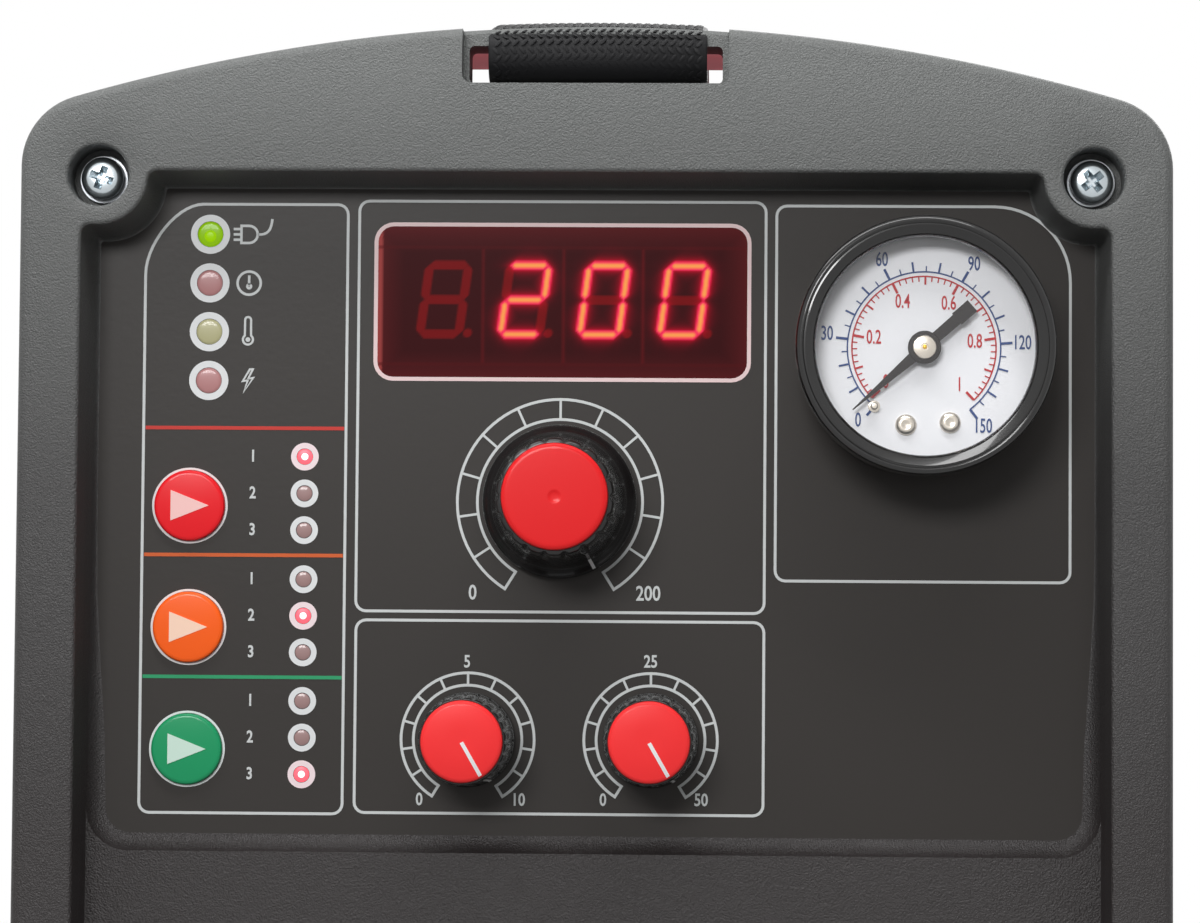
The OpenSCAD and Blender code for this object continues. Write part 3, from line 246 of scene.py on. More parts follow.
def piece(name, shape, material, body="case", nodes=(), crisp=CRISP):
    corners, faces = shape
    bm = bmesh.new()
    verts = [bm.verts.new((x * MM, y * MM, z * MM)) for x, y, z in corners]
    for f in faces:
        around = [verts[i] for i in f]
        if len(set(f)) > 2 and not bm.faces.get(around):
            bm.faces.new(around)
    bmesh.ops.remove_doubles(bm, verts=bm.verts, dist=WELD)
    bmesh.ops.dissolve_degenerate(bm, edges=bm.edges, dist=1e-7)
    loose = [v for v in bm.verts if not v.link_faces]
    bmesh.ops.delete(bm, geom=loose, context="VERTS")
    bmesh.ops.recalc_face_normals(bm, faces=bm.faces)
    mesh = bpy.data.meshes.new(name)
    bm.to_mesh(mesh)
    bm.free()
    smoothed(mesh, crisp)
    return finished(placed(name, mesh), material, body, *nodes)


# %% [markdown]
# ## Finishes
# Colours are named as a paint maker would read them off a card, from 0 to 255, and turned into
# the linear values that the shader wants. Grain is a bump from noise on Object coordinates, so
# it stays put on the piece when a view or a joint changes.

# %% Material helpers
def shade(r, g, b):
    def linear(c):
        c = c / 255
        return c / 12.92 if c <= 0.04045 else ((c + 0.055) / 1.055) ** 2.4
    return (linear(r), linear(g), linear(b), 1.0)


def node(tree, kind, feed, **settings):
    """Adds a node; feed gives its sockets a plain value or the output of another node."""
    made = tree.nodes.new(kind)
    for name, value in settings.items():
        setattr(made, name, value)
    for socket, value in feed.items():
        if isinstance(value, bpy.types.NodeSocket):
            tree.links.new(value, made.inputs[socket])
        else:
            made.inputs[socket].default_value = value
    return made


def maths(tree, operation, *values):
    return node(tree, "ShaderNodeMath", dict(enumerate(values)), operation=operation).outputs[0]


def own_place(tree):
    """Object coordinates, which stay put on the piece."""
    return node(tree, "ShaderNodeTexCoord", {}).outputs["Object"]


def finish(name, colour, rough=0.5, metal=0.0, coat=0.0, specular=0.25, glow=None, power=0.0,
           sheen=0.0, alpha=1.0):
    material = bpy.data.materials.new(name)
    material.use_nodes = True
    looks = {"Base Color": shade(*colour), "Roughness": rough, "Metallic": metal,
             "Coat Weight": coat, "Coat Roughness": 0.06, "Specular IOR Level": specular,
             "Sheen Weight": sheen, "Alpha": alpha}
    if glow:
        looks.update({"Emission Color": shade(*glow), "Emission Strength": power})
    for socket, value in looks.items():
        material.node_tree.nodes["Principled BSDF"].inputs[socket].default_value = value
    return material


def grain(material, cell, height, stretch=(1, 1, 1)):
    """Fine relief: cell is the size of a grain and height its depth, in millimetres."""
    tree = material.node_tree
    normal = tree.nodes["Principled BSDF"].inputs["Normal"]
    place = node(tree, "ShaderNodeMapping", {"Scale": stretch, "Vector": own_place(tree)})
    noise = node(tree, "ShaderNodeTexNoise", {"Detail": 2.0, "Scale": 1 / (cell * MM),
                                              "Vector": place.outputs["Vector"]})
    bump = node(tree, "ShaderNodeBump", {"Strength": 1.0, "Distance": height * MM,
                                         "Height": noise.outputs["Fac"]})
    if normal.links:
        tree.links.new(normal.links[0].from_socket, bump.inputs["Normal"])
    tree.links.new(bump.outputs["Normal"], normal)
    return material


def ramped(material, level, *stops):
    """Paints by a level between 0 and 1; stops are (level, colour)."""
    tree = material.node_tree
    ramp = node(tree, "ShaderNodeValToRGB", {"Fac": level})
    dots = ramp.color_ramp.elements
    dots.remove(dots[1])
    dots[0].position, dots[0].color = stops[0][0], shade(*stops[0][1])
    for position, colour in stops[1:]:
        dots.new(position).color = shade(*colour)
    tree.links.new(ramp.outputs["Color"], tree.nodes["Principled BSDF"].inputs["Base Color"])
    return material


def mottle(material, colour_a, colour_b, cell):
    """Lets the colour drift between two close shades."""
    tree = material.node_tree
    noise = node(tree, "ShaderNodeTexNoise", {"Detail": 3.0, "Scale": 1 / (cell * MM),
                                              "Vector": own_place(tree)})
    return ramped(material, noise.outputs["Fac"], (0.35, colour_a), (0.65, colour_b))


def painted_height_light(material, z0, z1, *stops):
    """Painted light: colour that drifts with height, paler towards the top where the light from
    above falls and darker towards the bottom.
    """
    tree = material.node_tree
    split = node(tree, "ShaderNodeSeparateXYZ", {0: own_place(tree)})
    level = node(tree, "ShaderNodeMapRange", {0: split.outputs["Z"], 1: z0 * MM, 2: z1 * MM})
    return ramped(material, level.outputs[0], *stops)


# %% Finishes of the case
bezel_black = finish("bezel_black", (64, 61, 60), 0.42, specular=0.45)
grain(grain(bezel_black, 0.28, 0.26), 2.2, 0.03)
# Painted light: the bezel is paler at its top and darker at its bottom, standing in for the light
# from above.
painted_height_light(bezel_black, 165, 292, (0.0, (32, 27, 27)), (0.46, (60, 59, 59)), (1.0, (102, 104, 103)))
cover_red = grain(finish("cover_red", (172, 18, 22), 0.32, coat=0.15, specular=0.2), 1.6, 0.012)
mottle(cover_red, (178, 17, 21), (168, 15, 19), 60)
print("case finishes ready")

# %% [markdown]
# ## The front bezel
# The front is one moulding: a rounded outer skin, a flat rim, and a recess with a soft lip. Four
# lobes round the corner screws push into the recess. Moulded parts never have knife edges, so
# the shape is built ring by ring: the same outline, drawn in or out a little at each depth. The
# small numbers are the roundings one sees as bright lines along the edges.

# %% Outline of the case
def case_path(d, gap):
    """Right edge of the gap at the top, clockwise to its left edge, drawn in by d."""
    cx = HALF_W - SHOULDER_R
    cz = ARCH_Z + math.sqrt((ARCH_R - SHOULDER_R) ** 2 - cx ** 2)
    first = math.degrees(math.asin(gap / (ARCH_R - d)))
    last = math.degrees(math.atan2(cx, cz - ARCH_Z))
    side, floor = HALF_W - d, FOOT_H + d
    low, corner = FOOT_H + FOOT_R, HALF_W - FOOT_R
    half = arc(0, ARCH_Z, ARCH_R - d, 90 - first, 90 - last, 40)
    half += arc(cx, cz, SHOULDER_R - d, 90 - last, 0, 12)[1:]
    half += between((side, cz), (side, low), 12)
    half += arc(corner, low, FOOT_R - d, 0, -90, 8)
    half += between((corner, floor), (0, floor), 6)
    return half + [(0, floor)] + mirrored(half)


def arch_path(gap, steps, d=0.0):
    """The arch across a gap, from left to right, drawn in by d."""
    end = math.degrees(math.asin(gap / ARCH_R))
    return arc(0, ARCH_Z, ARCH_R - d, 90 + end, 90 - end, steps)


def notch_path(r=1.5):
    """Down the left side of the strap notch, along its floor and up the right side."""
    left = between((-NOTCH_HALF, BAR_Z), (-NOTCH_HALF, NOTCH_Z + r), 3)
    left += arc(r - NOTCH_HALF, NOTCH_Z + r, r, 180, 270, 4)
    return left + mirrored(left)


def skin_ring(d):
    return case_path(d, NOTCH_HALF) + notch_path()


# %% [markdown]
# The recess outline is worked out from its true geometry: straight sides, a circle round each
# screw and a small fillet where they meet. Growing it by a negative amount gives the lip.

# %% Outline of the recess
RECESS_X, RECESS_TOP, RECESS_LOW, CORNER_R = 84.0, 274.5, 163.0, 7.0
LOBE_R, SPLIT_Z = 9.0, 170.0


def lobe(t):
    """Top right corner, from the top edge round the screw lobe to the side, drawn in by t."""
    x, z, r = RECESS_X - t, RECESS_TOP - t, LOBE_R + t
    f = max(0.5, 0.9 - t)
    cx, cz = SCREW_X, SCREW_TOP_Z
    fx = cx - math.sqrt((r + f) ** 2 - (z - f - cz) ** 2)
    fz = cz - math.sqrt((r + f) ** 2 - (x - f - cx) ** 2)
    a = math.degrees(math.atan2(cz - (z - f), cx - fx))
    b = math.degrees(math.atan2(cz - fz, cx - (x - f)))
    points = arc(fx, z - f, f, 90, a, 5)
    points += arc(cx, cz, r, 180 + a, 180 + b, 22)[1:-1]
    return points + arc(x - f, fz, f, b, 0, 5)


def recess_ring(t, lower):
    """Clockwise from the left split point over the top, drawn in by t; lower takes in the whole
    front down to its lower lobes, and otherwise the ring ends below the panel."""
    right = lobe(t)
    x = RECESS_X - t
    rise = [(x, SPLIT_Z)] + between((x, SPLIT_Z), (x, right[-1][1]), 8)
    half = right + rise[::-1]
    over = mirrored(half) + between((-right[0][0], right[0][1]), right[0], 10) + half
    if lower:
        flip = SCREW_LOW_Z + SCREW_TOP_Z
        low_z = flip - (RECESS_TOP - t)
        down = [(px, flip - pz) for px, pz in reversed(right)]
        half = between((x, SPLIT_Z), (x, down[0][1]), 8) + down
        half += between((down[-1][0], low_z), (0, low_z), 5)
    else:
        low_z = RECESS_LOW + t
        half = arc(RECESS_X - CORNER_R, SPLIT_Z, CORNER_R - t, 0, -90, 10)[1:]
        half += between((half[-1][0], low_z), (0, low_z), 16)
    return over + half + [(0, low_z)] + mirrored(half)


# %% Front bezel
EDGE_R, LIP_R, LIP_OUT = 1.8, 0.8, -0.75
BAR_DEPTH, BAR_ROUND, LOWER_DEPTH = 4.0, 0.7, 9.0
BACK_DEPTH, SKIRT_DEPTH, SKIRT_WALL, SKIRT_GAP = 12.25, 42.0, 3.0, 26.2
BORE = [(5.6, 0.0), (5.3, 0.12), (5.1, 0.4), (5.05, 0.7), (5.05, 7.5)]
BORE_STEPS = 48
STEP = [(3.3, 3.05), (2.6, 2.98), (2.0, 2.76), (1.45, 2.4), (0.95, 1.9), (0.5, 1.25),
        (0.2, 0.6), (0.0, 0.0)]
STEP_FADE_Z, STEP_FADE, STEP_SMALL = 212, 40, 0.28


def round_over(r, start, steps, side=1):
    """Quarter round as (inset, depth) pairs, from the face to the side."""
    turn = [math.pi / 2 * i / steps for i in range(steps + 1)]
    return [(start + side * r * (1 - math.sin(a)), r * (1 - math.cos(a))) for a in turn]


def deep(loop, depth):
    return at_depth(loop, LIP_Y + depth)


def sleeve(loop, near, far, cap_end=False, wrap=True):
    """A wall along one outline, from a near depth to a far one."""
    return loft([deep(loop, near), deep(loop, far)], False, cap_end, wrap)


def step_ring(t):
    """Full step at the bottom of the panel, easing to a small fillet up the sides."""
    ring = []
    for start, end in zip(recess_ring(STEP_SMALL * t, False), recess_ring(t, False)):
        w = clamp((STEP_FADE_Z - start[1]) / STEP_FADE)
        w = w * w * (3 - 2 * w)
        ring.append(tuple(a + (b - a) * w for a, b in zip(start, end)))
    return ring


def rim_and_recess():
    """The round skin, the rim with its counterbores, the recess and the step to the panel."""
    outer = round_over(EDGE_R, 0, 5) + [(0, BAR_DEPTH)]
    wall = round_over(LIP_R, LIP_OUT, 6, side=-1) + [(-0.4, 6.0), (0, LOWER_DEPTH)]
    parts = [loft([deep(skin_ring(d), depth) for d, depth in outer], False, False),
             loft([deep(recess_ring(t, True), depth) for t, depth in wall], False, False)]
    rim = [skin_ring(EDGE_R), recess_ring(wall[0][0], True)]
    for x, z in SCREWS:
        bore = [deep(circle(x, z, r, BORE_STEPS), depth) for r, depth in BORE]
        parts.append(loft(bore, False, True))
        rim.append(circle(x, z, BORE[0][0], BORE_STEPS))
    step = [deep(step_ring(t), LOWER_DEPTH + h) for t, h in STEP]
    parts += [flat(rim, LIP_Y), loft(step, True, False)]
    lower, upper = recess_ring(0, True), recess_ring(0, False)
    split = next(i for i, p in enumerate(upper) if p[0] > 0 and abs(p[1] - SPLIT_Z) < 1e-6)
    shelf = upper[split:] + [upper[0]] + lower[:split:-1]
    return parts + [flat([shelf], LIP_Y + LOWER_DEPTH)]


def bar_and_skirt():
    """The strap bar with the slot through it, and the open skirt behind."""
    slot = rounded(-NOTCH_HALF + 1, NOTCH_Z + 0.5, NOTCH_HALF - 1, BAR_Z, 0.8, 3)
    top, edge = arch_path(NOTCH_HALF, 16), arch_path(NOTCH_HALF, 16, BAR_ROUND)
    bar = [deep(edge, BAR_DEPTH), deep(top, BAR_DEPTH + BAR_ROUND), deep(top, BACK_DEPTH)]
    outside, inner = case_path(0, SKIRT_GAP), case_path(SKIRT_WALL, SKIRT_GAP)
    return [loft(bar, False, False, wrap=False),
            flat([edge + notch_path()[::-1], slot], LIP_Y + BAR_DEPTH),
            sleeve(slot, BAR_DEPTH, BACK_DEPTH),
            sleeve(case_path(0, NOTCH_HALF), BAR_DEPTH, BACK_DEPTH, wrap=False),
            sleeve(outside + inner[::-1], BACK_DEPTH, SKIRT_DEPTH, cap_end=True),
            flat([inner + arch_path(SKIRT_GAP, 20), slot], LIP_Y + BACK_DEPTH)]


piece("bezel_front", together(*rim_and_recess(), *bar_and_skirt()), bezel_black,
      nodes=["front_bezel"])

# %% [markdown]
# ## The panel print
# The panel is a dark satin sheet with thin pale lines: four frames, three coloured rules and the
# rings round the dials. Print has no relief to speak of, so every line is a bar only a few
# hundredths of a millimetre thick that lies on the sheet. There are no words or marks on it;
# plain numbers stand at the dials and the lamps.

# %% Panel and its lines
panel_satin = grain(finish("panel_satin", (55, 52, 50), 0.34, specular=0.14), 0.9, 0.012)
print_white = finish("print_white", (205, 208, 208), 0.5)
print_red = finish("print_red", (196, 52, 44), 0.5)
print_orange = finish("print_orange", (206, 92, 40), 0.5)
print_green = finish("print_green", (38, 150, 100), 0.5)
PRINT_Y = PANEL_Y - 0.05
PRINT_T = 0.06
LINE, FRAME_R = 0.47, 1.7


def panel(points):
    return [(x, ART_Z + z) for x, z in points]


def frame_corner(x, z, start):
    """The rounding of a frame's corner at (x, z), from its start angle on."""
    cx = x + (FRAME_R if start in (90, 180) else -FRAME_R)
    cz = z + (FRAME_R if start in (180, 270) else -FRAME_R)
    return arc(cx, cz, FRAME_R, start, start + 90, 5)


def frame_line(path):
    return ribbon(panel(path), LINE, PRINT_Y, closed=True)


def bend(*pulls, steps=14):
    """A curve from the first point to the last, pulled towards the two between."""
    points = []
    for i in range(steps + 1):
        t = i / steps
        weights = ((1 - t) ** 3, 3 * t * (1 - t) ** 2, 3 * t * t * (1 - t), t ** 3)
        points.append(tuple(sum(w * p[a] for w, p in zip(weights, pulls)) for a in (0, 1)))
    return points


left, right, top, low = -75.65, -41.65, 51.07, -50.83
lamp_frame = (frame_corner(right, top, 0)
              + bend((-66.0, top), (-70.4, top), (left, 44.4), (left, 39.2))
              + frame_corner(left, low, 180) + frame_corner(right, low, 270))
left, right, top, low = 30.19, 79.14, 51.15, -11.55
gauge_frame = (bend((right, 38.4), (right, 45.5), (73.6, top), (66.4, top))
               + frame_corner(left, top, 90) + frame_corner(left, low, 180)
               + frame_corner(right, low, 270))
upper_frame = rounded(-39.72, -17.0, 28.4, 51.71, FRAME_R, 5)
lower_frame = rounded(-39.65, -50.56, 28.39, -18.5, FRAME_R, 5)
frames = [frame_line(path) for path in (lamp_frame, gauge_frame, upper_frame, lower_frame)]


for name, z, paint in (("rule_red", 13.45, print_red), ("rule_orange", -7.82, print_orange),
                       ("rule_green", -28.18, print_green)):
    piece(name, ribbon(panel([(-75.3, z), (-41.95, z)]), 0.6, PRINT_Y - 0.02), paint)
coat(panel_satin, "control_panel")

# %% [markdown]
# ## Ticks from Geometry Nodes
# The rings round the dials and the scales of the gauge repeat one short bar along an arc. A node
# tree does this once, with its sizes as inputs: a row of points is bent into an arc, one bar is
# placed on each point and turned to face the middle, and the result is made real.

# %% Node tree for ticks on an arc
def new_tree(name, **inputs):
    """A tree that takes and gives geometry; inputs are label=(kind, value)."""
    tree = bpy.data.node_groups.new(name, "GeometryNodeTree")
    for side in ("INPUT", "OUTPUT"):
        tree.interface.new_socket("Geometry", in_out=side, socket_type="NodeSocketGeometry")
    for label, (kind, value) in inputs.items():
        made = tree.interface.new_socket(label, in_out="INPUT", socket_type="NodeSocket" + kind)
        if value is not None:
            made.default_value = value
    return tree, tree.nodes.new("NodeGroupInput").outputs


def copied(tree, given, **feed):
    """Ends a tree: puts an item on each point, makes the copies real and paints them."""
    copies = node(tree, "GeometryNodeInstanceOnPoints", feed)
    real = node(tree, "GeometryNodeRealizeInstances", {0: copies.outputs[0]})
    paint = node(tree, "GeometryNodeSetMaterial", {"Geometry": real.outputs[0],
                                                   "Material": given["Finish"]})
    node(tree, "NodeGroupOutput", {0: paint.outputs[0]})
    return tree


def ticks_tree():
    """Bars along an arc in the XZ plane; angles are clockwise from the top, in radians."""
    tree, given = new_tree("ticks_on_an_arc", Count=("Int", 11), Middle=("Vector", (0, 0, 0)),
                           Radius=("Float", 0.01), Start=("Float", 0.0), Sweep=("Float", 1.0),
                           Bar=("Vector", (0.001, 0.0001, 0.002)), Finish=("Material", None))
    index = node(tree, "GeometryNodeInputIndex", {}).outputs[0]
    share = maths(tree, "DIVIDE", index, maths(tree, "SUBTRACT", given["Count"], 1))
    angle = maths(tree, "ADD", given["Start"], maths(tree, "MULTIPLY", share, given["Sweep"]))
    x, z = (maths(tree, "MULTIPLY", maths(tree, wave, angle), given["Radius"])
            for wave in ("SINE", "COSINE"))
    spot = node(tree, "ShaderNodeCombineXYZ", {"X": x, "Z": z})
    shift = node(tree, "ShaderNodeVectorMath", {0: spot.outputs[0], 1: given["Middle"]},
                 operation="ADD")
    row = node(tree, "GeometryNodeMeshLine", {"Count": given["Count"]})
    place = node(tree, "GeometryNodeSetPosition", {"Geometry": row.outputs[0],
                                                   "Position": shift.outputs[0]})
    bar = node(tree, "GeometryNodeMeshCube", {"Size": given["Bar"]})
    turn = node(tree, "ShaderNodeCombineXYZ", {"Y": angle})
    return copied(tree, given, Points=place.outputs[0], Instance=bar.outputs["Mesh"],
                  Rotation=turn.outputs[0])


TICKS = ticks_tree()


def grown(name, tree, values, body, source=None):
    """Runs a node tree once and keeps the plain mesh."""
    holder = placed(name + "_holder", source or bpy.data.meshes.new(name + "_empty"))
    modifier = holder.modifiers.new("made", "NODES")
    modifier.node_group = tree
    sockets = {s.name: s.identifier for s in tree.interface.items_tree if s.in_out == "INPUT"}
    for label, value in values.items():
        modifier[sockets[label]] = value
    mesh = baked(holder)
    bpy.data.objects.remove(holder)
    mesh.name = name
    obj = placed(name, mesh)
    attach(obj, body)
    print(f"{name}: {len(mesh.polygons)} faces from nodes")
    return obj


def ticks(name, count, middle, height, radius, start, sweep, length, width, material):
    """Bars whose middles lie on the radius round (x, z); sizes in millimetres and degrees."""
    x, z = middle
    values = {"Count": count, "Middle": (x * MM, (PANEL_Y - height) * MM, (ART_Z + z) * MM),
              "Radius": radius * MM, "Start": math.radians(start), "Sweep": math.radians(sweep),
              "Bar": (width * MM, PRINT_T * MM, length * MM), "Finish": material}
    return grown(name, TICKS, values, "case")


# %% Rings round the dials
AMPS, SLOPE, FLOW = (-5.74, 1.38), (-20.82, -38.3), (9.65, -38.2)
GAUGE = (54.1, 26.4)
REACH, DIVISIONS = 148, 12


def clock(cx, cz, r, start, end, steps):
    """An arc with angles clockwise from the top."""
    return arc(cx, cz, r, 90 - start, 90 - end, steps)


def dial_ring(name, spot, outer, inner):
    path = clock(*spot, outer, -REACH, REACH, 72) + clock(*spot, inner, REACH, -REACH, 72)
    step = 2 * REACH / DIVISIONS
    ticks(name, DIVISIONS - 1, spot, 0.04, (outer + inner) / 2, step - REACH,
          step * (DIVISIONS - 2), outer - inner, 0.4, print_white)
    return ribbon(panel(path), 0.46, PRINT_Y, closed=True)


rings = [dial_ring("amps_ring_marks", AMPS, 17.15, 13.8),
         dial_ring("slope_ring_marks", SLOPE, 11.1, 9.05),
         dial_ring("flow_ring_marks", FLOW, 11.1, 9.05)]
piece("panel_lines", together(*frames, *rings), print_white)

# %% [markdown]
# ## Numbers
# Numbers are drawn as text, turned into a mesh while they still sit at the origin, and only then
# carried to their place, so the finished object itself never moves.

# %% Numbers
SIZE_PER_FIGURE = 1.38


def number(text, x, z, size, height, squeeze=0.8, bold=0.06):
    """Corners and faces of a number centred at (x, z) on the panel; height is above the panel."""
    curve = bpy.data.curves.new("number", "FONT")
    curve.body = text
    curve.align_x, curve.align_y = "CENTER", "CENTER"
    curve.size = size * SIZE_PER_FIGURE
    curve.resolution_u = 3
    curve.extrude, curve.offset = PRINT_T / 2, bold
    holder = placed("number", curve)
    mesh = baked(holder)
    corners = [(x + v.co.x * squeeze, PANEL_Y - height - v.co.z, ART_Z + z + v.co.y)
               for v in mesh.vertices]
    faces = [tuple(f.vertices) for f in mesh.polygons]
    bpy.data.objects.remove(holder)
    bpy.data.meshes.remove(mesh)
    return corners, faces


dial_numbers = [("0", -20.2, -13.9, 2.5), ("200", 9.1, -13.9, 2.5), ("5", -21.0, -25.4, 2.1),
                ("25", 9.6, -25.2, 2.1), ("0", -28.8, -48.35, 2.1), ("10", -12.3, -48.3, 2.1),
                ("0", 1.8, -48.2, 2.1), ("50", 18.1, -48.1, 2.1)]
MODE_Z = [8.7, 2.55, -3.6, -11.8, -17.9, -24, -32.1, -38.2, -44.3]
shown = [number(t, x, z, size, 0.05) for t, x, z, size in dial_numbers]
shown += [number(str(1 + i % 3), -57.2, z, 2.0, 0.05, bold=0.07) for i, z in enumerate(MODE_Z)]
piece("panel_numbers", together(*shown), print_white)

# %% [markdown]
# ## Signs beside the lamps
# Each status lamp has a plain sign: a plug with its lead, a round gauge, a thermometer and a
# spark. They are drawn with the same ribbons as the frames.

# %% Signs beside the lamps
STATUS_X, STATUS_Z = -64.8, [46, 37.8, 29.6, 21.4]


def sign(paths, width=0.42):
    return together(*[ribbon(panel(p), width, PRINT_Y, closed=c) for p, c in paths])


prongs = [([(-60.9, z), (-59.8, z)], False) for z in (46.9, 46.0, 45.1)]
plug = sign([(arc(-58.3, 46, 1.45, -90, 90, 10) + [(-59.6, 47.45), (-59.6, 44.55)], True),
             *prongs,
             (bend((-56.8, 46), (-55.2, 45.9), (-54.6, 46.6), (-54.4, 48.6), steps=8), False)])
meter = sign([(circle(-58.2, 37.8, 1.95, 28), True), ([(-58.2, 37.5), (-58.2, 39.1)], False),
              (circle(-58.2, 37.25, 0.32, 10), True)])
glass = sign([(arc(-58.3, 31.6, 0.5, 180, 0, 6) + arc(-58.3, 28.3, 0.85, 52, -232, 14), True),
              (circle(-58.3, 28.3, 0.22, 8), True)], 0.36)
spark = sign([([(-57.9, 23.3), (-59.1, 21.3), (-58.2, 21.5), (-58.9, 19.5), (-57.3, 21.9),
                (-58.2, 21.7), (-57.4, 23.3)], True)], 0.34)
piece("lamp_signs", together(plug, meter, glass, spark), print_white)

# %% [markdown]
# ## Lamps and buttons
# A small clear-topped lamp shines through each hole in the sheet, with a pale printed ring round
# it. The lit ones glow from within, so their material gives light of its own; the others are
# milky. The three buttons are glossy caps with a printed arrow, each on its own sliding body.

# %% Lamps
def ring_print(x, z, outer, inner, steps=40):
    loops = [circle(x, ART_Z + z, r, steps) for r in (outer, inner)]
    return plate(loops, PRINT_Y, PANEL_Y - 0.005)


def lamp_shape(x, z, r):
    dome = [(r, -1.5), (r, -0.06), (r * 0.97, 0.0), (r * 0.8, 0.06), (r * 0.4, 0.1), (0, 0.12)]
    return turned(dome, x, z, 32)


def row(shape, x, places, *sizes):
    """The same small shape at several heights."""
    return together(*[shape(x, z, *sizes) for z in places])


MODE_X, STATUS_R, MODE_R = -48.5, 2.15, 1.3
MODE_RING = (2.32, 1.38)
lit_z = [MODE_Z[i] for i in (0, 4, 8)]
dark_z = [z for z in MODE_Z if z not in lit_z]
power_z, gauge_z, heat_z, spark_z = STATUS_Z
ring_pale = finish("ring_pale", (224, 226, 227), 0.42)
# Painted light: the printed rings round the lit lamps are tinted pink and glow faintly, standing
# in for the lamp light that falls on them.
ring_painted_lamp_glow = finish("ring_painted_lamp_glow", (238, 222, 225), 0.42, glow=(255, 150, 165), power=0.05)
piece("lamp_rings", together(row(ring_print, STATUS_X, STATUS_Z, 3.3, 2.2),
                             row(ring_print, MODE_X, dark_z, *MODE_RING)), ring_pale)
piece("lit_rings", row(ring_print, MODE_X, lit_z, *MODE_RING), ring_painted_lamp_glow)

lamp_lit_green = finish("lamp_lit_green", (128, 174, 0), 0.25, coat=0.1, specular=0.1,
                        glow=(146, 204, 0), power=0.3)
lamp_core_green = finish("lamp_core_green", (140, 190, 0), 0.25, specular=0.1,
                         glow=(172, 228, 0), power=0.35)
lamp_rose = finish("lamp_rose", (180, 126, 126), 0.3, coat=0.2)
lamp_straw = finish("lamp_straw", (180, 176, 134), 0.3, coat=0.2)
lamp_dusk = finish("lamp_dusk", (156, 124, 122), 0.35, coat=0.4)
lamp_lit_red = finish("lamp_lit_red", (250, 110, 122), 0.3, glow=(250, 66, 84), power=0.8)
lamp_core_red = finish("lamp_core_red", (255, 235, 235), 0.3, glow=(255, 225, 225), power=1.0)
piece("power_lamp", lamp_shape(STATUS_X, power_z, STATUS_R), lamp_lit_green,
      nodes=["status_lamps"])
piece("rose_lamps", row(lamp_shape, STATUS_X, (gauge_z, spark_z), STATUS_R), lamp_rose)
piece("straw_lamp", lamp_shape(STATUS_X, heat_z, STATUS_R), lamp_straw)
green_core = [(1.1, 0.02), (1.0, 0.1), (0.5, 0.16), (0, 0.17)]
piece("power_lamp_core", turned(green_core, STATUS_X, power_z - 0.3, 24), lamp_core_green)
piece("mode_lamps_dark", row(lamp_shape, MODE_X, dark_z, MODE_R), lamp_dusk,
      nodes=["mode_lamps"])
piece("mode_lamps_lit", row(lamp_shape, MODE_X, lit_z, MODE_R), lamp_lit_red)
red_core = [(0.62, 0.02), (0.58, 0.1), (0.3, 0.15), (0, 0.16)]
piece("mode_lamp_cores", together(*[turned(red_core, MODE_X, z, 20) for z in lit_z]),
      lamp_core_red)

# %% Buttons
BUTTON_X = -67.7
button_looks = [("mode", 0.4, (236, 20, 32), (250, 200, 196)),
                ("remote", -19.9, (255, 98, 16), (254, 216, 192)),
                ("pulse", -40.2, (20, 150, 96), (206, 232, 218))]
button_top = [(5.9, -2.8), (5.9, 0.75), (5.8, 0.98), (5.6, 1.1), (5.2, 1.16), (0, 1.2)]
piece("button_rings", row(ring_print, BUTTON_X, [look[1] for look in button_looks],
                          6.35, 5.98, 56), ring_pale)
for label, z, cap_tone, arrow_tone in button_looks:
    gloss = finish(label + "_button_gloss", cap_tone, 0.28, coat=0.2, specular=0.15)
    piece(label + "_button_cap", turned(button_top, BUTTON_X, z), gloss,
          body=label + "_push", nodes=[label + "_button"])
    arrow = [(BUTTON_X + x, ART_Z + z + dz) for x, dz in ((-3.1, 2.55), (-3.1, -2.55), (3.3, 0))]
    piece(label + "_arrow", plate([arrow], PANEL_Y - 1.26, PANEL_Y - 1.14),
          finish(label + "_arrow_print", arrow_tone, 0.45), body=label + "_push")

# %% [markdown]
# ## The display
# Four seven-segment modules sit behind a dark red filter. Light spreads a little in the filter,
# so a lit bar has an orange core, a hot pink edge and a soft red halo. The front of the filter is
# a fine grid of faces; each corner gets its colour from its distance to the nearest bar, and the
# material gives that colour off as light.

# %% Display filter
SEG_HALF_W, SEG_HALF_H, SEG_R, SLANT = 3.25, 5.8, 0.62, math.tan(math.radians(7.6))
DIGIT_X, DIGIT_Z = [-25.4, -11.9, 1.35, 14.75], 35.2
SEGMENTS = {"a": ((-1, 1), (1, 1)), "b": ((1, 1), (1, 0)), "c": ((1, 0), (1, -1)),
            "d": ((-1, -1), (1, -1)), "e": ((-1, 0), (-1, -1)), "f": ((-1, 1), (-1, 0)),
            "g": ((-1, 0), (1, 0))}
SHOWN = ["", "abged", "abcdef", "abcdef"]
WINDOW, WINDOW_R = (-36.6, 22.1, 25.4, 47.55), 2.7
JOINT_X, JOINT_LOW, JOINT_TOP = (-18.9, -5.4, 7.9), 24.3, 44
RED_DEEP, RED_DIM, RED_EDGE, RED_PALE = (54, 11, 14), (80, 20, 23), (80, 15, 18), (150, 62, 60)
RED_JOINT, RED_DOT, RED_UNLIT = (86, 15, 19), (112, 13, 16), (114, 13, 16)
HALO, SKIN, CORE, HEART = (208, 4, 40), (255, 52, 96), (255, 138, 84), (255, 168, 84)
COLUMNS, ROWS = 230, 96


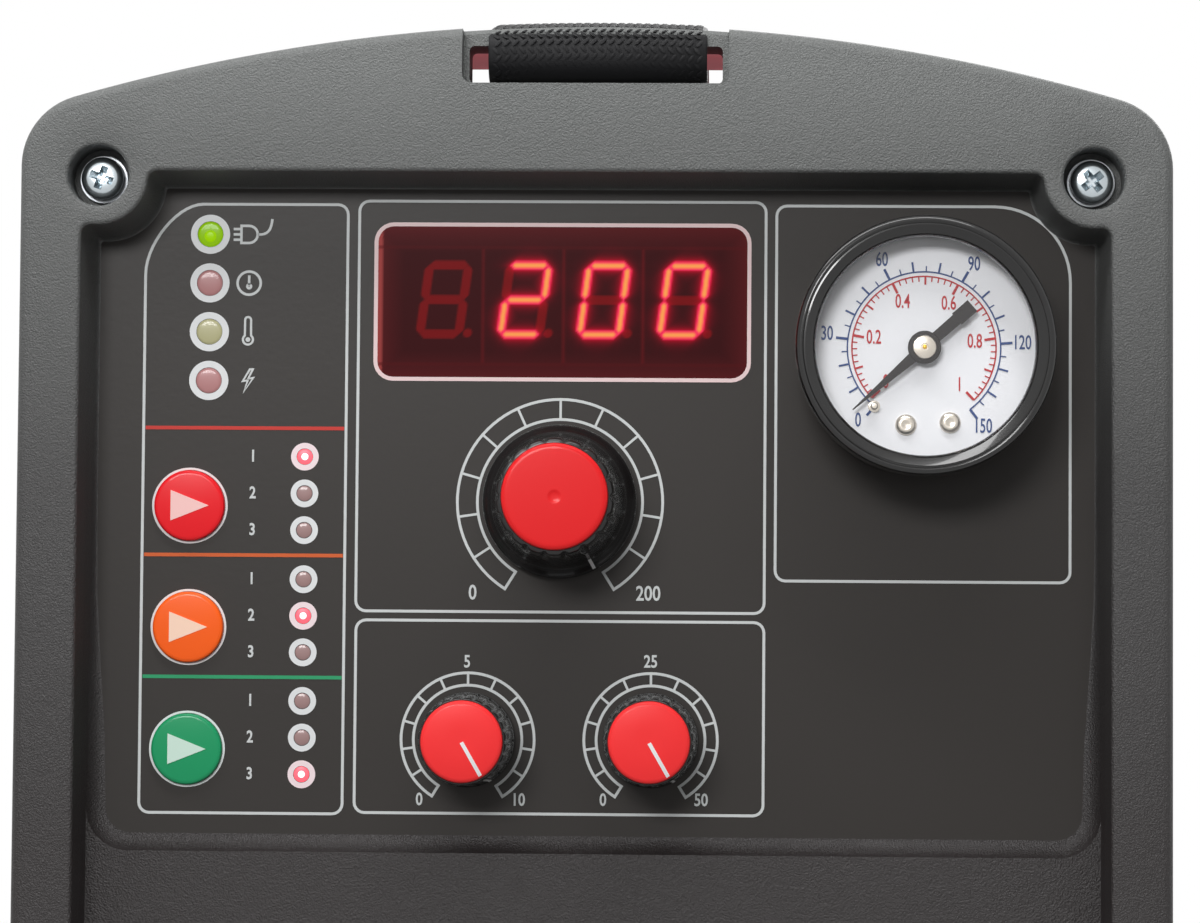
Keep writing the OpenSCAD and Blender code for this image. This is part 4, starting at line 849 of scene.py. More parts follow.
def bar_distance(x, z, ends):
    """Distance to one bar, negative inside it; its ends stop a little short of the corners."""
    (x0, z0), (x1, z1) = ends
    ax, az = x0 * SEG_HALF_W, z0 * SEG_HALF_H
    bx, bz = x1 * SEG_HALF_W, z1 * SEG_HALF_H
    length = math.hypot(bx - ax, bz - az)
    ux, uz = (bx - ax) / length, (bz - az) / length
    along = (x - ax) * ux + (z - az) * uz
    across = abs((x - ax) * uz - (z - az) * ux)
    room = 0.1 + across
    over = max(room - along, along - (length - room))
    if over <= 0 and across <= SEG_R:
        return max(over * 0.7, across - SEG_R)
    return math.hypot(max(0, across - SEG_R), max(0, over))


def blend_tone(a, b, w):
    w = clamp(w)
    return tuple(p + (q - p) * w for p, q in zip(a, b))


def filter_tone(x, z):
    """Colour of the filter at a point, as 0 to 255 values."""
    x0, z0, x1, z1 = WINDOW
    tone = blend_tone(RED_DIM, RED_DEEP, min(x - x0, x1 - x, z - z0, z1 - z) / 4.5)
    tone = blend_tone(RED_PALE, tone, (x - x0 - 0.75) / 0.2)
    # faint joints between the modules, and their top and bottom edges
    if JOINT_LOW + 0.2 < z < JOINT_TOP - 0.2:
        for joint in JOINT_X:
            tone = blend_tone(RED_JOINT, tone, abs(x - joint) / 0.45)
    if abs(z - JOINT_TOP) < 0.3 or abs(z - JOINT_LOW) < 0.3:
        tone = blend_tone(RED_EDGE, tone, 0.5)
    for middle, lit in zip(DIGIT_X, SHOWN):
        local_z = z - DIGIT_Z
        local_x = x - middle - local_z * SLANT
        if abs(local_x) > 8 or abs(local_z) > 10:
            continue
        dot = math.hypot(local_x - 4.7, local_z + 5.6) - SEG_R
        tone = blend_tone(RED_DOT, tone, dot / 0.25)
        far = {name: bar_distance(local_x, local_z, ends) for name, ends in SEGMENTS.items()}
        for name in SEGMENTS:
            if name not in lit and far[name] < 0.3:
                tone = blend_tone(RED_UNLIT, tone, far[name] / 0.3)
        near = min([far[name] for name in lit], default=99)
        if near < 4:
            tone = blend_tone(tone, HALO, 0.84 * math.exp(-max(0, near - 0.1) / 0.78))
            tone = blend_tone(tone, SKIN, 1.15 - (near + 0.06) / 0.3)
            tone = blend_tone(tone, CORE, (-near - 0.1) / 0.2)
            tone = blend_tone(tone, HEART, (-near - 0.32) / 0.25)
    return tone


def filter_glow():
    """Reads the painted tone as light."""
    material = finish("display_filter_glow", (14, 4, 5), 0.16, specular=0.06)
    tree = material.node_tree
    tone = node(tree, "ShaderNodeAttribute", {}, attribute_name="tone")
    skin = tree.nodes["Principled BSDF"].inputs
    tree.links.new(tone.outputs["Color"], skin["Emission Color"])
    skin["Emission Strength"].default_value = 0.94
    return material


def display_filter():
    x0, z0, x1, z1 = WINDOW
    corners, faces, tones = [], [], []
    for j in range(ROWS + 1):
        z = z0 + (z1 - z0) * j / ROWS
        lift = max(0.0, z0 + WINDOW_R - z, z - (z1 - WINDOW_R))
        pinch = WINDOW_R - math.sqrt(max(0.0, WINDOW_R ** 2 - lift ** 2))
        for i in range(COLUMNS + 1):
            x = x0 + pinch + (x1 - x0 - 2 * pinch) * i / COLUMNS
            corners.append((x, PANEL_Y - 0.02, ART_Z + z))
            tones.append(shade(*filter_tone(x, z)))
    wide = COLUMNS + 1
    for a in (j * wide + i for j in range(ROWS) for i in range(COLUMNS)):
        faces.append((a, a + 1, a + wide + 1, a + wide))
    # round the edge and across the back
    rim = (list(range(wide)) + [j * wide + COLUMNS for j in range(1, ROWS + 1)]
           + [ROWS * wide + i for i in range(COLUMNS - 1, -1, -1)]
           + [j * wide for j in range(ROWS - 1, 0, -1)])
    base, count = len(corners), len(rim)
    corners += [(corners[i][0], PANEL_Y + 1.4, corners[i][2]) for i in rim]
    tones += [shade(58, 12, 15)] * count
    faces += [(rim[i], rim[(i + 1) % count], base + (i + 1) % count, base + i)
              for i in range(count)]
    faces.append(tuple(base + i for i in range(count)))
    mesh = bpy.data.meshes.new("display_filter")
    mesh.from_pydata([(x * MM, y * MM, z * MM) for x, y, z in corners], [], faces)
    paint = mesh.color_attributes.new("tone", "FLOAT_COLOR", "POINT")
    paint.data.foreach_set("color", [c for tone in tones for c in tone])
    bm = bmesh.new()
    bm.from_mesh(mesh)
    bmesh.ops.recalc_face_normals(bm, faces=bm.faces)
    bm.to_mesh(mesh)
    bm.free()
    return finished(placed("display_filter", mesh), filter_glow(), "case", "display_window")


display_filter()
print_blush = finish("print_blush", (232, 205, 205), 0.42)
border = panel(rounded(-36.85, 21.85, 25.65, 47.8, 2.95, 6))
piece("display_border", ribbon(border, 0.66, PANEL_Y - 0.07, 0.09, closed=True), print_blush)

# %% [markdown]
# ## Knobs
# The big knob has a sloping skirt, a fluted grip and a flat red cap; the two small ones have a
# plain fluted grip. A flute is a shallow scoop that repeats round the grip, so the radius of each
# ring follows a repeating curve, fading out where the grip meets the skirt and the top edge.

# %% Knobs
knob_black = grain(finish("knob_black", (24, 22, 22), 0.24, coat=0.25, specular=0.3), 3.0, 0.015)
cap_red_deep = grain(finish("cap_red_deep", (232, 30, 34), 0.3, coat=0.12, specular=0.15),
                     2.5, 0.01)
cap_red_bright = grain(finish("cap_red_bright", (252, 52, 54), 0.34, coat=0.1, specular=0.15),
                       2.5, 0.008)
mark_white = finish("mark_white", (238, 238, 238), 0.4)
GRIP_STEPS = 288


def fluted(spot, profile, flutes):
    """Rings with (radius, height, scoop depth), each scoop a smooth hollow."""
    x, z = spot
    rings = []
    for r, h, scoop in profile:
        ring = []
        for i in range(GRIP_STEPS):
            a = math.tau * i / GRIP_STEPS
            rr = r - scoop * max(0.0, math.cos(flutes * a)) ** 2
            ring.append((x + rr * math.cos(a), PANEL_Y - h, ART_Z + z + rr * math.sin(a)))
        rings.append(ring)
    return loft(rings)


def clock_point(spot, angle, r):
    a = math.radians(angle)
    return spot[0] + r * math.sin(a), spot[1] + r * math.cos(a)


def radial_mark(spot, angle, steps, width, lift=0.06, deep_in=0.25):
    """A painted stripe that follows a knob's surface outwards; steps are (radius, height)."""
    a = math.radians(angle)
    side = (math.cos(a) * width / 2, -math.sin(a) * width / 2)
    rings = []
    for r, h in steps:
        x, z = clock_point(spot, angle, r)
        rings.append([(x + s * side[0], PANEL_Y - h - up, ART_Z + z + s * side[1])
                      for s, up in ((-1, lift), (1, lift), (1, -deep_in), (-1, -deep_in))])
    return loft(rings)


amps_grip = [(12.8, 0.8, 0), (12.8, 2.2, 0), (12.65, 2.6, 0), (12.3, 2.95, 0), (11.8, 3.4, 0),
             (11.2, 4.2, 0), (10.8, 5.4, 0), (10.5, 7.5, 0), (10.2, 10.5, 0), (10.0, 13.0, 0),
             (9.9, 14.6, 0.5), (9.85, 15.6, 0.75), (9.65, 20.9, 0.75), (9.5, 21.5, 0.6),
             (9.25, 21.9, 0.3), (8.95, 22.05, 0.05), (8.75, 22.05, 0), (8.7, 21.4, 0)]
amps_top = [(8.65, 21.6), (8.65, 22.75), (8.55, 23.05), (8.3, 23.22), (7.9, 23.28), (7.6, 23.3),
            (1.2, 23.3), (1.0, 23.3), (0.85, 23.24), (0.5, 23.2), (0, 23.2)]
amps_stripe = [(10.95, 5.0), (11.2, 4.2), (11.8, 3.4), (12.3, 2.95), (12.6, 2.65)]
piece("amps_grip", fluted(AMPS, amps_grip, 18), knob_black, "amps_dial", ["amps_knob"], 50)
piece("amps_cap_red", turned(amps_top, *AMPS, 96), cap_red_deep, "amps_dial", ["amps_cap"])
piece("amps_mark", radial_mark(AMPS, 152, amps_stripe, 0.55), mark_white, "amps_dial")
small_grip = [(7.9, 0.8, 0), (7.9, 1.6, 0), (7.8, 2.0, 0), (7.7, 2.4, 0.15), (7.65, 3.2, 0.32),
              (7.2, 14.6, 0.32), (7.1, 15.1, 0.22), (6.95, 15.4, 0.05), (6.8, 15.45, 0),
              (6.75, 15.0, 0)]
small_top = [(6.7, 14.9), (6.7, 15.95), (6.62, 16.25), (6.4, 16.45), (6.0, 16.55), (2.0, 16.6),
             (0, 16.6)]
top_stripe = [(0.1, 16.6), (2.0, 16.6), (6.0, 16.55), (6.35, 16.42)]
side_stripe = [(7.22, 14.4), (7.5, 8.0), (7.68, 3.2), (7.8, 2.1), (7.92, 1.5)]
for label, spot in (("slope", SLOPE), ("flow", FLOW)):
    dial = label + "_dial"
    piece(label + "_grip", fluted(spot, small_grip, 24), knob_black, dial, [label + "_knob"], 50)
    piece(label + "_cap_red", turned(small_top, *spot, 80), cap_red_bright, dial,
          [label + "_cap"])
    piece(label + "_mark", radial_mark(spot, 150, top_stripe, 0.62), mark_white, dial)
    piece(label + "_side_mark", radial_mark(spot, 150, side_stripe, 0.55, 0.0, 0.5), mark_white,
          dial)

# %% [markdown]
# ## The pressure gauge
# A 40 mm gauge is pressed steel in black lacquer. Its rim dishes inwards to the glass, which is
# thin and almost invisible, so its material is mostly see-through with a clear shine. Two printed
# scales share the dial: red inside, blue outside.

# %% Gauge case, rim and glass
gauge_lacquer = grain(finish("gauge_lacquer", (12, 11, 11), 0.25, coat=0.6), 1.5, 0.008)
dial_paint = finish("dial_paint", (250, 251, 255), 0.55, specular=0.3)
scale_red = finish("scale_red", (196, 30, 40), 0.5, specular=0.1)
scale_blue = finish("scale_blue", (34, 68, 130), 0.5, specular=0.1)
hub_nickel = finish("hub_nickel", (196, 188, 176), 0.28, metal=1.0)
needle_black = finish("needle_black", (26, 20, 20), 0.42, specular=0.12)
clear_pane = finish("clear_pane", (255, 255, 255), 0.03, alpha=0.035, specular=0.2)
gauge_body = [(20.3, 0.05), (20.4, 0.4), (20.4, 13.6), (20.55, 14.2), (21.05, 14.5), (21.15, 14.9),
              (21.15, 19.3), (21.05, 19.9), (20.85, 20.3), (20.55, 20.52), (20.25, 20.58),
              (20.0, 20.4), (19.8, 20.15), (19.55, 20.2), (18.4, 19.45), (18.05, 19.15),
              (17.85, 18.7), (17.8, 17.4), (19.1, 17.4), (19.1, 2.0), (0, 2.0)]
pane = [(18.9, 17.5), (18.9, 18.5), (18.8, 18.6), (0, 18.6)]
face = [(19.05, 12.6), (19.05, 13.15), (19.0, 13.2), (0, 13.2)]
piece("gauge_body", turned(gauge_body, *GAUGE, 128), gauge_lacquer,
      nodes=["gauge_case", "gauge_rim"])
piece("gauge_pane", turned(pane, *GAUGE, 96), clear_pane, nodes=["gauge_glass"])
piece("gauge_face", turned(face, *GAUGE, 96), dial_paint, nodes=["gauge_dial"])

# %% Gauge scales
FACE_H = 13.24


def scale(name, radius, start, sweep, out, paint, *sets):
    """A line with three sets of ticks that grow from it; a set is (spaces, length)."""
    looks = (("fine", 0.2, 0.03), ("middle", 0.32, 0.04), ("long", 0.42, 0.05))
    for (tag, width, lift), (spaces, length) in zip(looks, sets):
        ticks(f"{name}_{tag}_ticks", spaces + 1, GAUGE, FACE_H + lift,
              radius + out * length / 2, start, sweep, length, width, paint)
    line = clock(GAUGE[0], ART_Z + GAUGE[1], radius, start, start + sweep, 120)
    return ribbon(line, 0.24, PANEL_Y - FACE_H - 0.06)


def round_numbers(values, radius, start, sweep, size):
    parts = []
    for i, text in enumerate(values):
        x, z = clock_point(GAUGE, start + sweep * i / (len(values) - 1), radius)
        parts.append(number(text, x, z, size, FACE_H + 0.03, squeeze=0.62, bold=0.035))
    return together(*parts)


red_line = scale("red", 11.75, -134, 270, -1, scale_red, (50, 0.85), (10, 1.35), (5, 1.8))
blue_line = scale("blue", 12.5, -140, 283, 1, scale_blue, (30, 0.95), (15, 1.7), (5, 1.95))
red_numbers = round_numbers(["0", "0.2", "0.4", "0.6", "0.8", "1"], 8.35, -132, 268, 2.35)
blue_numbers = round_numbers(["0", "30", "60", "90", "120", "150"], 16.0, -138, 281, 2.4)
piece("red_scale", together(red_line, red_numbers), scale_red)
piece("blue_scale", together(blue_line, blue_numbers), scale_blue)

# %% Gauge needle, hub and rivets
NEEDLE_REST = math.radians(221.4)


def needle_shape():
    c, s = math.cos(NEEDLE_REST), math.sin(NEEDLE_REST)
    half = [(15.5, 0.1), (10, 0.42), (3, 0.85), (-7, 0.95), (-7, 1.2), (-10.35, 1.2)]
    blade = half + [(x, -z) for x, z in reversed(half)]
    blade = [(GAUGE[0] + x * c - z * s, ART_Z + GAUGE[1] + x * s + z * c) for x, z in blade]
    collar = [(2.7, 14.4), (2.7, 15.15), (2.55, 15.3), (1.9, 15.35), (0, 15.35)]
    return together(plate([blade], PANEL_Y - 15.05, PANEL_Y - 14.6), turned(collar, *GAUGE, 48),
                    turned([(0.8, 4.0), (0.8, 14.6)], *GAUGE, 24))


piece("needle_blade", needle_shape(), needle_black, "needle", ["gauge_needle"])
hub = [(1.95, 15.3), (1.95, 15.65), (1.8, 15.85), (1.4, 15.95), (0.6, 15.98), (0.55, 15.8),
       (0, 15.8)]
pin = [(0.38, 15.5), (0.36, 16.0), (0.2, 16.1), (0, 16.12)]
piece("needle_hub", turned(hub, *GAUGE, 48), hub_nickel, "needle")
piece("needle_pin", turned(pin, *GAUGE, 20),
      finish("hub_brass", (214, 170, 60), 0.3, metal=1.0), "needle")
rivet = [(1.75, 13.2), (1.7, 13.5), (1.45, 13.85), (1.05, 14.02), (0.7, 14.05), (0.5, 13.95),
         (0, 13.93)]
stop = [(0.62, 13.2), (0.6, 15.0), (0.45, 15.15), (0, 15.2)]
stop_collar = [(1.0, 13.2), (0.95, 13.4), (0.6, 13.5)]
studs = [turned(profile, GAUGE[0] + x, GAUGE[1] + z, steps)
         for profile, x, z, steps in ((rivet, -2.9, -12.6, 32), (rivet, 4.3, -12.2, 32),
                                      (stop, -8.1, -9.6, 24), (stop_collar, -8.1, -9.6, 24))]
piece("dial_rivets", together(*studs), hub_nickel, nodes=["gauge_studs"])

# %% [markdown]
# ## Screws
# The corner screws are zinc pan heads with a cross recess, each on a split spring washer and a
# flat washer. One head is modelled with its recess cut by a boolean; a node tree then puts a copy
# on each spot, turned the way that spot says, as real screws are never lined up.

# %% Node tree that puts one item on many spots
def spread_tree():
    tree, given = new_tree("item_on_spots", Item=("Object", None), Finish=("Material", None))
    item = node(tree, "GeometryNodeObjectInfo", {"Object": given["Item"]})
    turn = node(tree, "GeometryNodeInputNamedAttribute", {"Name": "turn"},
                data_type="FLOAT_VECTOR")
    return copied(tree, given, Points=given["Geometry"], Instance=item.outputs["Geometry"],
                  Rotation=turn.outputs[0])


SPREAD = spread_tree()


def spread(name, item, spots, material, nodes=()):
    """Spots are ((x, y, z), (turn x, turn y, turn z)) in millimetres and radians."""
    source = bpy.data.meshes.new(name + "_spots")
    source.from_pydata([tuple(c * MM for c in place) for place, _ in spots], [], [])
    turns = source.attributes.new("turn", "FLOAT_VECTOR", "POINT")
    turns.data.foreach_set("vector", [c for _, turn in spots for c in turn])
    obj = grown(name, SPREAD, {"Item": item, "Finish": material}, "case", source)
    if nodes:
        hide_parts(*nodes)


def item_mesh(name, shape, cutters=(), crisp=CRISP):
    """A loose item at the origin for the node tree; it is removed when its copies are made."""
    obj = piece(name, shape, knob_black, crisp=crisp)
    for k, cutter_shape in enumerate(cutters):
        cutter = piece(f"{name}_cutter_{k}", cutter_shape, knob_black)
        cut = obj.modifiers.new("cut", "BOOLEAN")
        cut.operation, cut.solver, cut.object = "DIFFERENCE", "EXACT", cutter
        mesh = baked(obj)
        obj.modifiers.remove(cut)
        obj.data = mesh
        bpy.data.objects.remove(cutter)
    smoothed(obj.data, crisp)
    return obj


# %% Corner screws and washers
def upright(profile, steps=40):
    """Turns (radius, height) pairs round the Z axis."""
    rings = [[(x, y, h) for x, y in circle(0, 0, r, steps)] for r, h in profile]
    return loft(rings, profile[0][0] > 0, profile[-1][0] > 0)


def cross_arm(long_x):
    rings = []
    for z, wide, narrow in ((0.5, 0.9, 0.2), (2.6, 2.35, 0.78)):
        a, b = (wide, narrow) if long_x else (narrow, wide)
        rings.append([(-a, -b, z), (a, -b, z), (a, b, z), (-a, b, z)])
    return loft(rings)


def spring_shape(steps=40):
    """One turn of a spring, split, that climbs a little from end to end."""
    section = ((2.2, 0), (3.5, 0), (3.6, 0.12), (3.6, 0.8), (3.5, 0.92), (2.2, 0.92))
    rings = []
    for i in range(steps + 1):
        a = math.radians(6 + 348 * i / steps)
        rings.append([(r * math.cos(a), r * math.sin(a), 0.35 * i / steps + h)
                      for r, h in section])
    return loft(rings)


head = [(1.9, -1.0), (1.9, 0.0), (3.4, 0.0), (3.5, 0.3), (3.48, 0.9), (3.35, 1.4), (3.0, 1.8),
        (2.4, 2.03), (1.5, 2.15), (0.0, 2.2)]
washer = [(2.1, 0), (4.0, 0), (4.05, 0.15), (4.05, 0.75), (3.95, 0.9), (2.1, 0.9), (2.1, 0)]
screw_head = item_mesh("screw_head", upright(head), [cross_arm(True), cross_arm(False)])
flat_washer = item_mesh("flat_washer", upright(washer))
spring_washer = item_mesh("spring_washer", spring_shape())
zinc_bright = grain(finish("zinc_bright", (186, 194, 198), 0.22, metal=1.0), 1.2, 0.02)
zinc_dull = grain(finish("zinc_dull", (140, 143, 146), 0.36, metal=1.0), 0.9, 0.01)
dark_steel = grain(finish("dark_steel", (62, 62, 66), 0.4, metal=1.0), 1.0, 0.01)


def corner_spots(lift, own_turn):
    """Places on the counterbore floors; lift is along the screw."""
    spots = []
    for (x, z), turn in zip(SCREWS, own_turn):
        spots.append(((x, LIP_Y + BORE[-1][1] - lift, z), (math.pi / 2, turn, 0)))
        spots.append(((x, REAR_Y - BORE[-1][1] + lift, z), (-math.pi / 2, turn, 0)))
    return spots


spread("corner_screw_heads", screw_head, corner_spots(1.95, (0.35, 0.9, 1.3, 0.1)), zinc_bright,
       ["corner_screws"])
spread("corner_spring_washers", spring_washer, corner_spots(0.88, (2.2, 4.0, 1.0, 3.0)),
       zinc_dull)
spread("corner_washers", flat_washer, corner_spots(0.0, (0, 0, 0, 0)), zinc_dull, ["washers"])
for item in (screw_head, spring_washer, flat_washer):
    bpy.data.objects.remove(item)

# %% [markdown]
# ## The webbing strap
# The strap is braided webbing, sewn into a loop round a bar at each end. Its band follows a
# curve in the side view. The braid is rows of short plump strands that lean one way in one row
# and the other way in the next, so each strand is one tiny low shape, and the node tree lays
# thousands of them on the band.

# %% Path of the strap
STRAP_HALF, STRAP_MID, STRAP_T, PITCH = 18.1, 0.3, 1.0, 1.15
SPLINE_STEPS = 12
CROWN_R, CROWN_MID, CROWN_Z = 1294.5, -18.35, -982.1


def band_z(y):
    return CROWN_Z + math.sqrt((CROWN_R + 0.85) ** 2 - (y - CROWN_MID) ** 2)


def through(points, step):
    """A smooth curve through points, as evenly spaced points."""
    points = [Vector(p) for p in (points[0], *points, points[-1])]
    dense = []
    for p0, p1, p2, p3 in zip(points, points[1:], points[2:], points[3:]):
        for t in (k / SPLINE_STEPS for k in range(SPLINE_STEPS)):
            dense.append(0.5 * (2 * p1 + (p2 - p0) * t + (2 * p0 - 5 * p1 + 4 * p2 - p3) * t ** 2
                                + (3 * p1 - p0 - 3 * p2 + p3) * t ** 3))
    dense.append(points[-1])
    even, left = [dense[0]], step
    for a, b in zip(dense, dense[1:]):
        span = (b - a).length
        while span >= left:
            a = a + (b - a) * (left / span)
            span = (b - a).length
            even.append(a)
            left = step
        left -= span
    return even


def dip(y):
    """The band comes down a little towards its bars."""
    far = abs(y - CROWN_MID)
    return -0.1 - 0.5 * clamp((far - 110) / 50) - 0.5 * max(0.0, (far - 148) / 18)


def strap_loop(bar_y, s):
    """Side view of one end, from the sewn tail round the bar; s is 1 at the front, -1 behind."""
    tail = [(bar_y + s * d, band_z(bar_y + s * d) - 1.35) for d in (58, 50)]
    turn = ((36, 298.2), (24, 294.6), (14, 292.4), (6, 291.6), (1.2, 292.3), (-0.6, 294.0),
            (-1.1, 296.0), (-0.8, 297.6), (0.3, 298.8), (2.2, 299.6), (5.5, 300.4))
    return tail + [(bar_y + s * d, z) for d, z in turn]


band = [(y, band_z(y) + dip(y)) for y in range(-184, 153, 12)]
strap_path = through(strap_loop(-194.7, 1) + band + strap_loop(158.0, -1)[::-1], PITCH / 2)
print("strap length, mm:", round(len(strap_path) * PITCH / 2))


# %% Band and braid
def path_turn(path, i):
    """Direction along the path and the outward direction, in the side view."""
    a, b = path[max(0, i - 1)], path[min(len(path) - 1, i + 1)]
    along = (b - a).normalized()
    return along, Vector((-along.y, along.x))


def on_band(i, x, lift):
    """A point across the band; the band bows over the arched bars and is flat between them."""
    spot = strap_path[i] + path_turn(strap_path, i)[1] * lift
    near = clamp((abs(spot.x - CROWN_MID) - 120) / 50)
    return (STRAP_MID + x, spot.x, spot.y - near * x * x / (2 * ARCH_R))


webbing_black = grain(finish("webbing_black", (19, 19, 21), 0.5, specular=0.18, sheen=0.05),
                      0.22, 0.05)
HEM = STRAP_HALF - 0.35
section = [(-STRAP_HALF, -0.25), (-STRAP_HALF, 0.25), (-HEM, 0.5), (HEM, 0.5),
           (STRAP_HALF, 0.25), (STRAP_HALF, -0.25), (HEM, -0.5), (-HEM, -0.5)]
band_rings = [[on_band(i, x, lift * STRAP_T) for x, lift in section]
              for i in range(len(strap_path))]
piece("strap_band", loft(band_rings), webbing_black, nodes=["carry_strap"])

STRAND_PITCH, STRAND_LEAN, STRAND_LIFT = 1.45, math.radians(48), 0.42
strand = item_mesh("strand", upright([(0.0, -0.1), (0.62, 0.05), (0.74, 0.24), (0.0, 0.42)], 6),
                   crisp=80)
for v in strand.data.vertices:
    v.co.x *= 1.12
    v.co.y *= 0.46
strand_spots = []
columns = int(2 * (STRAP_HALF - 0.2) / STRAND_PITCH)
for line in range(1, len(strap_path) // 2 - 1):
    along, out = path_turn(strap_path, 2 * line)
    side = 1 if line % 2 else -1
    lean = side * STRAND_LEAN
    run = Vector((math.cos(lean), along.x * math.sin(lean), along.y * math.sin(lean)))
    up = Vector((0, out.x, out.y))
    turn = tuple(Matrix((run, up.cross(run), up)).transposed().to_euler())
    for c in range(columns):
        x = (c - (columns - 1) / 2) * STRAND_PITCH + side * 0.2
        strand_spots.append((on_band(2 * line, x, STRAND_LIFT), turn))
half = len(strand_spots) // 2
spread("strap_braid_rear", strand, strand_spots[half:], webbing_black)
spread("strap_braid_front", strand, strand_spots[:half], webbing_black)
bpy.data.objects.remove(strand)

# %% [markdown]
# ## Softened copies
# Many pieces are right as the CAD made them except for their edges, which are mathematically
# sharp. A copy of the CAD mesh is welded, its flat parts are made whole again and a small bevel
# rounds each edge, which is what makes moulded or pressed pieces catch the light.

# %% Helper for softened copies
FLAT_WITHIN, EDGE_FROM = math.radians(0.3), math.radians(32)


def softened(name, width, material, body="case", segments=2, zones=()):
    """Zones are (test of a face's middle in millimetres, its own material)."""
    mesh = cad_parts[name].data.copy()
    mesh.polygons.foreach_set("use_smooth", [True] * len(mesh.polygons))
    obj = placed(name + "_soft", mesh)
    bm = bmesh.new()
    bm.from_mesh(mesh)
    bmesh.ops.remove_doubles(bm, verts=bm.verts, dist=WELD)
    bmesh.ops.dissolve_limit(bm, angle_limit=FLAT_WITHIN, verts=bm.verts, edges=bm.edges)
    bm.to_mesh(mesh)
    bm.free()
    edge = obj.modifiers.new("edge", "BEVEL")
    edge.width, edge.segments = width * MM, segments
    edge.limit_method, edge.angle_limit = "ANGLE", EDGE_FROM
    edge.use_clamp_overlap = True
    even = obj.modifiers.new("even", "WEIGHTED_NORMAL")
    even.weight, even.keep_sharp = 100, True
    soft = baked(obj)
    obj.modifiers.clear()
    obj.data = soft
    finished(obj, material, body, name)
    for k, (test, other) in enumerate(zones, 1):
        soft.materials.append(other)
        for face in soft.polygons:
            if test(*(c / MM for c in face.center)):
                face.material_index = k


# %% Finishes for the rest
def metal(name, colour, rough, cell, height, stretch=(1, 1, 1)):
    return grain(finish(name, colour, rough, metal=1.0), cell, height, stretch)


rubber_black = grain(finish("rubber_black", (26, 26, 26), 0.75, specular=0.3), 0.8, 0.03)
black_plastic = grain(finish("black_plastic", (34, 33, 34), 0.42), 0.8, 0.02)
gloss_plastic = grain(finish("gloss_plastic", (22, 22, 23), 0.22, coat=0.3), 2.0, 0.01)
brass_turned = metal("brass_turned", (196, 160, 88), 0.3, 0.5, 0.008, (1, 6, 1))
cast_alloy = metal("cast_alloy", (168, 171, 174), 0.42, 0.7, 0.03)
sink_alloy = metal("sink_alloy", (176, 180, 184), 0.4, 1.0, 0.01, (1, 0.1, 1))
zinc_sheet = metal("zinc_sheet", (150, 153, 156), 0.42, 2.0, 0.01)
mottle(zinc_sheet, (140, 143, 147), (164, 167, 170), 9)
board_green = mottle(finish("board_green", (20, 92, 50), 0.4), (18, 84, 46), (26, 104, 58), 6)
copper_wire = metal("copper_wire", (184, 104, 58), 0.35, 0.5, 0.05, (1, 1, 4))
ferrite_grey = grain(finish("ferrite_grey", (58, 58, 60), 0.65), 0.8, 0.03)
blue_sleeve = grain(finish("blue_sleeve", (30, 44, 104), 0.3, coat=0.3), 2.0, 0.01)
tube_blue = grain(finish("tube_blue", (36, 92, 176), 0.3, coat=0.2), 2.0, 0.01)
bowl_clear = finish("bowl_clear", (214, 226, 232), 0.08, alpha=0.32, coat=0.2)
rocker_gloss = finish("rocker_gloss", (196, 18, 24), 0.25, coat=0.4)
# Painted light: the strap brackets are red steel, made a paler pink here with a glow of their own
# to stand in for the bright light that falls on them behind the slot.
bracket_painted_glow = finish("bracket_painted_glow", (190, 74, 80), 0.5, glow=(196, 124, 130), power=0.3)

# %% CAD meshes kept with a finish
coat(zinc_sheet, "base_tray", "end_plates", "nuts")
coat(board_green, "boards")
coat(black_plastic, "board_parts", "digit_modules", "inner_blocks")
coat(sink_alloy, "heatsinks")
coat(blue_sleeve, "capacitors")
coat(ferrite_grey, "transformer_core")
coat(copper_wire, "copper_parts")
coat(tube_blue, "air_tubes")
coat(brass_turned, "gas_valve", "gauge_stem")
coat(zinc_dull, "dial_pots", "amps_shaft", "slope_shaft", "flow_shaft")
coat(hub_nickel, "pot_nuts")
coat(zinc_bright, "fan_grille")

# %% CAD meshes with softened edges
softened("strap_brackets", 0.4, bracket_painted_glow)
# Small lips that carry the same painted glow where the slot shows the brackets.
lips = [block(s * 20.0 - 2.8, y, 294.4, s * 20.0 + 2.8, y + 0.9, 297.4)
        for s in (-1, 1) for y in (-184.6, 147.0)]
piece("bracket_lips", together(*lips), bracket_painted_glow)
softened("feet", 1.2, rubber_black, segments=3)
softened("rear_bezel", 0.9, bezel_black, segments=3)
softened("cover", 0.3, cover_red)
softened("socket_bodies", 0.6, gloss_plastic, segments=3)
softened("socket_inserts", 0.35, brass_turned)
softened("gas_outlet", 0.4, brass_turned)
softened("control_socket", 0.4, cast_alloy)
softened("fan_frame", 0.8, black_plastic)
softened("fan_rotor", 0.3, black_plastic, "rotor")
softened("switch_housing", 0.6, gloss_plastic)
softened("switch_rocker", 0.7, rocker_gloss, "rocker", segments=3)
softened("rear_fittings", 0.35, zinc_bright,
         zones=[(lambda x, y, z: x < -30 and z > 170, black_plastic),
                (lambda x, y, z: -8 < x < 15 and z > 170, brass_turned)])
softened("regulator_body", 0.8, cast_alloy, segments=3)
softened("regulator_knob", 0.7, black_plastic, "air_knob", segments=3)
softened("regulator_bowl", 0.6, bowl_clear)
softened("case_screws", 0.3, dark_steel)

# %% [markdown]
# ## Camera, floor and light
# The machine stands on a plain pale floor. The camera looks at the panel from a little below its
# middle and slightly from the right, with a long lens, as one looks at a control panel. A
# narrow soft lamp hangs above, a stronger one stands well in front and a broad one behind.

# %% Floor and world
WORLD_LIGHT, WHITE = 0.3, (1, 1, 1, 1)
SHADOW_NEAR, SHADOW_FAR = 250, 1000
FLOOR_HALF, FLOOR_Z = 4000, -0.2


